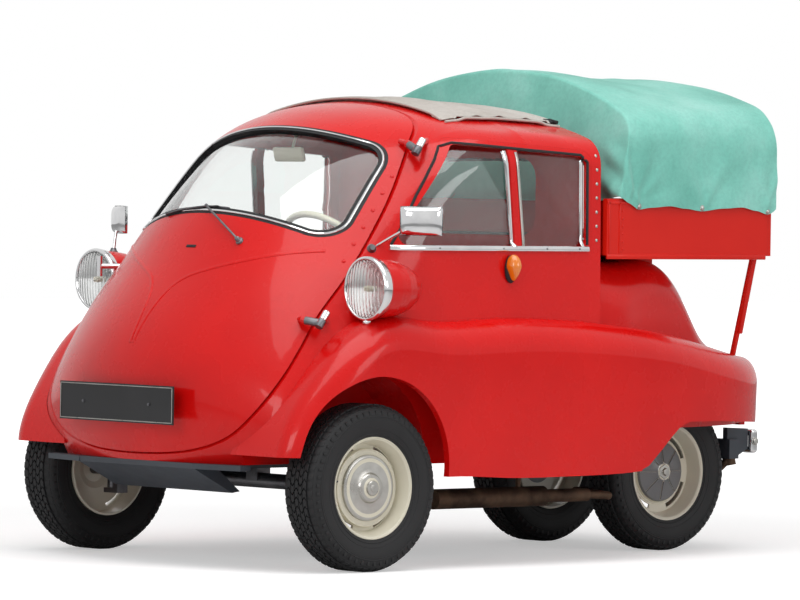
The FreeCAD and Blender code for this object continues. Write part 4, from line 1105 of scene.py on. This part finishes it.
# ---- folding roof: one sheet over the opening, with hoops showing through, a welt all round and a catch
roof = {"rear": -0.196, "front": 0.268, "half": 0.420, "rows": 70, "across": 110, "thickness": 0.0020, "lift": 0.0016,
        "ridges": [(-0.150, 0.0030), (-0.060, 0.0046), (0.045, 0.0052), (0.140, 0.0046), (0.225, 0.0034)], "slack": 0.0030,
        "uvSize": (0.88, 0.50), "catch": (-0.176, 0.400)}
welt = {"sideY": 0.4235, "sideRise": 0.0030, "sideRadius": 0.0042, "endHalf": 0.405, "endRise": 0.0034, "endRadius": 0.0040}
long = roof["front"] - roof["rear"]
roofCloth = addGrid(roof["across"], roof["rows"])
for vertex in roofCloth.data.vertices:
    u = vertex.co.x + 0.5
    v = vertex.co.y + 0.5
    x = roof["rear"] + long * v
    narrowed = max(0.0, 1 - min(v, 1 - v) * long / 0.06) ** 2 * 0.030
    y = roof["half"] * (1 - 2 * u) * (1 - narrowed)
    rise = roof["lift"] + 0.0035 * max(0.0, 1 - (roof["half"] - abs(y)) / 0.02)
    for ridge, height in roof["ridges"]:
        rise += height * bell(x - ridge - 0.010 * math.sin(y * 4.0 + ridge * 30), 0.017)
    rise += roof["slack"] * (0.5 + 0.5 * math.sin(x * 46 + 1.7 * math.sin(y * 6))) * (1 - abs(2 * u - 1) ** 3)
    vertex.co = roofPoint(x, y, rise)[0]
layer = roofCloth.data.uv_layers.active.data
for corner in layer:
    corner.uv = (corner.uv.x * roof["uvSize"][0], corner.uv.y * roof["uvSize"][1])
addModifier(roofCloth, "SOLIDIFY", thickness=roof["thickness"], offset=1.0)
outward(roofCloth)
finishPiece(roofCloth, "roof_cloth", roofWeave, "body", 60)
trims = []
for side, name in sides:
    points = [roofPoint(roof["rear"] + 0.004 + (long - 0.008) * k / 18, side * welt["sideY"], welt["sideRise"])[0]
              for k in range(19)]
    trims.append(bentRod(points, welt["sideRadius"]))
for x in (roof["rear"] + 0.002, roof["front"] - 0.002):
    points = [roofPoint(x, welt["endHalf"] * (1 - 2 * k / 24), welt["endRise"])[0] for k in range(25)]
    trims.append(bentRod(points, welt["endRadius"]))
roofWelt = finishPiece(trims, "roof_welt", roofWeave, "body", 50)
place, normal = roofPoint(*roof["catch"])
catch = joined([block((-0.016, -0.020, -0.001), (0.016, 0.020, 0.0085), 0.0025),
                block((-0.026, -0.006, 0.002), (0.006, 0.006, 0.0120), 0.0020)])
catch.data.transform(Matrix.Translation(place) @ normal.to_track_quat("Z", "X").to_matrix().to_4x4())
finishPiece(catch, "roof_catch", sealRubber, "body", 45)
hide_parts("sunroof_fabric")


# ---- bench: crowned cushion and back, piped along the front, seams pulled in
bench = {
    "seams": [-0.235, 0.0, 0.235], "groove": 0.010, "grooveWidth": 0.011, "cuts": 31, "fill": 0.75,
    "seat": [(-0.080, -0.470, 0.470), (0.380, 0.470, 0.590)], "back": [(-0.036, -0.470, 0.0), (0.036, 0.470, 0.400)],
    "base": [(-0.018, -0.428, 0.3495), (0.338, 0.428, 0.4740)], "pipe": 0.0042, "pipeAt": (0.366, 0.582, 0.480),
}


def cushionPiece(low, high):
    solid = block(low, high, 0.0)
    editAll(solid, (bpy.ops.mesh.subdivide, {"number_cuts": bench["cuts"]}))
    middle = (Vector(low) + Vector(high)) / 2
    half = (Vector(high) - Vector(low)) / 2
    for vertex in solid.data.vertices:
        part = Vector([(vertex.co[k] - middle[k]) / half[k] for k in range(3)])
        dome = [max(0.0, 1 - value ** 4) for value in part]
        x = middle.x + half.x * part.x * (0.90 + 0.10 * dome[1] * dome[2])
        y = middle.y + half.y * part.y * (0.965 + 0.035 * dome[0] * dome[2])
        z = middle.z + half.z * part.z * (0.86 + 0.14 * dome[0] * dome[1])
        for seam in bench["seams"]:
            dip = bench["groove"] * bell(y - seam, bench["grooveWidth"])
            if part.z > 0.6:
                z -= dip * dome[0]
            if part.x > 0.6:
                x -= dip * 0.6 * dome[2]
        if part.z > 0.9:
            z += 0.0035 * math.sin(x * 31 + 2.0 * math.sin(y * 9)) * dome[0] * dome[1]
        vertex.co = (x, y, z)
    outward(solid)
    return addModifier(solid, "SUBSURF", levels=1, render_levels=1)


backPad = cushionPiece(*bench["back"])
backPad.data.transform(Matrix.Translation((-0.083, 0, 0.500)) @ Matrix.Rotation(-math.atan2(0.055, 0.400), 4, "Y"))
pads = joined([cushionPiece(*bench["seat"]), backPad])
editAll(pads, (bpy.ops.uv.cube_project, {"cube_size": 1.0}))
finishPiece(pads, "bench_pads", seatCloth, "body", 70)
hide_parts("seat_bench")
finishPiece(block(*bench["base"], 0.006), "bench_base", frameGrey, "body", 45)
pipeX, pipeTop, pipeLow = bench["pipeAt"]
piping = [bentRod([(pipeX, y, z) for y in (-0.440, -0.2, 0.0, 0.2, 0.440)], bench["pipe"]) for z in (pipeTop, pipeLow)]
finishPiece(piping, "bench_piping", sealRubber, "body", 60)
print("bench padded")


# ---- inside and behind: rear-view mirror, rear window rubber, tailgate fittings, overrider bolts
innerMirror = {"half": Vector((0.0075, 0.066, 0.022)), "edge": 0.0065, "at": (0.500, 0.0, 1.190), "tilt": math.radians(14),
               "stemFrom": (0.490, 0.0, 1.200), "stemTo": (0.468, 0.0, 1.262), "stem": 0.0045}
inner = block(-innerMirror["half"], innerMirror["half"], innerMirror["edge"])
inner.data.transform(Matrix.Translation(innerMirror["at"]) @ Matrix.Rotation(innerMirror["tilt"], 4, "Y"))
stem = roundBar(innerMirror["stemFrom"], innerMirror["stemTo"], innerMirror["stem"], 16, 0.0008)
finishPiece([inner, stem], "interior_mirror", ivoryPlastic, "door", 45)

rearRim = {"half": 0.330, "low": 0.960, "high": 1.190, "corner": 0.060, "middle": 1.075, "inset": 0.004, "skinX": -0.205,
           "width": 0.020, "height": 0.0060, "reach": 0.6}
corner = rearRim["corner"]
outline = []
for across, up, begin in ((1, 1, 0), (-1, 1, 90), (-1, -1, 180), (1, -1, 270)):
    centreY = across * (rearRim["half"] - corner)
    centreZ = (rearRim["high"] if up > 0 else rearRim["low"]) - up * corner
    for k in range(9):
        turn = math.radians(begin + 90 * k / 8)
        outline.append((centreY + corner * math.cos(turn), centreZ + corner * math.sin(turn)))
places = []
for y, z in outline + outline[:1]:
    outside = Vector((y, z - rearRim["middle"])).normalized() * rearRim["inset"]
    found = skinPoint(["cabin_shell", "rear_window"], (-0.60, y + outside.x, z + outside.y), (1, 0, 0))
    places.append(found[1] if found and found[0] < rearRim["reach"] else Vector((rearRim["skinX"], y, z)))
rubber = stripAlong(places, [Vector((-1, 0, 0))] * len(places), rearRim["width"], rearRim["height"])
finishPiece(rubber, "rear_window_rubber", sealRubber, "body", 45)

gate = {"x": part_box("tailgate")[0][0], "latchY": 0.50, "latchHalf": 0.022, "latchLow": 1.012, "latchHigh": 1.050,
        "boltLow": 1.020, "boltHigh": 1.046, "bolt": 0.005, "ribs": (0.934, 1.058), "ribHalf": 0.560, "ribTall": 0.004}
fittings = []
for side, name in sides:
    x = gate["x"]
    y = side * gate["latchY"]
    fittings.append(block((x - 0.0035, y - gate["latchHalf"], gate["latchLow"]),
                          (x + 0.001, y + gate["latchHalf"], gate["latchHigh"]), 0.002))
    fittings.append(roundBar((x - 0.006, y, gate["boltLow"]), (x - 0.006, y, gate["boltHigh"]), gate["bolt"], 18, 0.001))
for z in gate["ribs"]:
    fittings.append(block((gate["x"] - 0.0030, -gate["ribHalf"], z - gate["ribTall"]),
                          (gate["x"] + 0.001, gate["ribHalf"], z + gate["ribTall"]), 0.0016))
finishPiece(fittings, "tailgate_fittings", boxRed, "tailgate_panel", 45)

boltRings = [(-0.002, tip), (-0.002, 0.0130), (0.001, 0.0130), (0.0026, 0.0105), (0.0060, 0.0098), (0.0072, 0.0070),
             (0.0075, tip)]
for side, name in sides:
    low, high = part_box("overrider_" + name)
    centre = (Vector(low) + Vector(high)) / 2
    boltHead = turnedPiece(boltRings, (centre.x, high[1] if side > 0 else low[1], centre.z), (0, side, 0), 24)
    finishPiece(boltHead, "overrider_bolt_" + name, satinMetal, "body", 40)
print("inside and back dressed")


# ---- floor, light and camera
studio = {
    "floorSize": 60.0, "ambient": 0.35, "glossyLevel": 0.7,
    "lamps": [
        {"name": "overhead", "at": (1.0, 1.5, 5.2), "size": (5.5, 4.0), "power": 190.0, "look": (0.2, 0.2, 0.6)},
        {"name": "front_panel", "at": (7.0, 3.0, 3.0), "size": (3.0, 2.4), "power": 95.0, "look": (0.2, 0.0, 0.7)},
        {"name": "side_panel", "at": (-1.5, 7.0, 2.6), "size": (4.0, 2.2), "power": 80.0, "look": (-0.2, 0.0, 0.6)},
    ],
    "camera": {"at": (12.0199, 13.4769, 1.1057), "yaw": -131.60, "pitch": -1.10, "roll": 0.86, "lens": 270.0},
}
deselectAll()
bpy.ops.mesh.primitive_plane_add(size=studio["floorSize"], location=(0, 0, 0))
floor = settle(bpy.context.object)
floor.name = "floor"
floorPaint, tree, shader, coords = startMaterial("pale_floor")
cloudyColour(tree, shader, coords, 3.0, 3.0, [(0.3, (0.79, 0.79, 0.79)), (0.7, (0.81, 0.81, 0.81))])
setInputs(shader, {"Roughness": 0.9, "Specular IOR Level": 0.1, "Emission Color": (1, 1, 1, 1)})
# the floor fades into white away from the car, for the camera only
rays = tree.nodes.new("ShaderNodeLightPath")
away = tree.nodes.new("ShaderNodeVectorMath")
away.operation = "LENGTH"
tree.links.new(coords.outputs["Object"], away.inputs[0])
glow = addRange(tree, away.outputs["Value"], 0.42, 1.0, 2.2, 7.0)
tree.links.new(addMath(tree, "MULTIPLY", rays.outputs["Is Camera Ray"], glow), shader.inputs["Emission Strength"])
floor.data.materials.append(floorPaint)

world = bpy.context.scene.world or bpy.data.worlds.new("studio")
bpy.context.scene.world = world
world.use_nodes = True
tree = world.node_tree
tree.nodes.clear()
# dim light for the shading, plain white for what is seen directly, in reflections and through glass
rays = tree.nodes.new("ShaderNodeLightPath").outputs
softer = addMath(tree, "MULTIPLY", rays["Is Glossy Ray"], studio["glossyLevel"])
seen = addMath(tree, "MAXIMUM", addMath(tree, "MAXIMUM", rays["Is Camera Ray"], softer), rays["Is Transmission Ray"])
blendSky = tree.nodes.new("ShaderNodeMixShader")
tree.links.new(seen, blendSky.inputs["Fac"])
for socket, strength in zip((1, 2), (studio["ambient"], 1.0)):
    sky = setInputs(tree.nodes.new("ShaderNodeBackground"), {"Color": (1, 1, 1, 1), "Strength": strength})
    tree.links.new(sky.outputs["Background"], blendSky.inputs[socket])
tree.links.new(blendSky.outputs["Shader"], tree.nodes.new("ShaderNodeOutputWorld").inputs["Surface"])

for lamp in studio["lamps"]:
    bpy.ops.object.light_add(type="AREA", location=lamp["at"])
    light = bpy.context.object
    light.name = lamp["name"]
    light.data.shape = "RECTANGLE"
    light.data.size, light.data.size_y = lamp["size"]
    light.data.energy = lamp["power"]
    light.rotation_euler = (Vector(lamp["look"]) - Vector(lamp["at"])).to_track_quat("-Z", "Y").to_euler()

viewpoint = studio["camera"]
bpy.ops.object.camera_add(location=viewpoint["at"])
camera = bpy.context.object
camera.name = "camera"
yaw, pitch, roll = (math.radians(viewpoint[key]) for key in ("yaw", "pitch", "roll"))
ahead = Vector((math.cos(pitch) * math.cos(yaw), math.cos(pitch) * math.sin(yaw), math.sin(pitch)))
level = Vector((math.sin(yaw), -math.cos(yaw), 0))
above = level.cross(ahead)
across = level * math.cos(roll) + above * math.sin(roll)
top = above * math.cos(roll) - level * math.sin(roll)
camera.matrix_world = Matrix.Translation(viewpoint["at"]) @ Matrix((across, top, -ahead)).transposed().to_4x4()
camera.data.lens = viewpoint["lens"]
camera.data.sensor_width = 36.0
camera.data.clip_end = 200.0
bpy.context.scene.camera = camera
bpy.context.scene.view_settings.view_transform = "Standard"
print("studio ready")
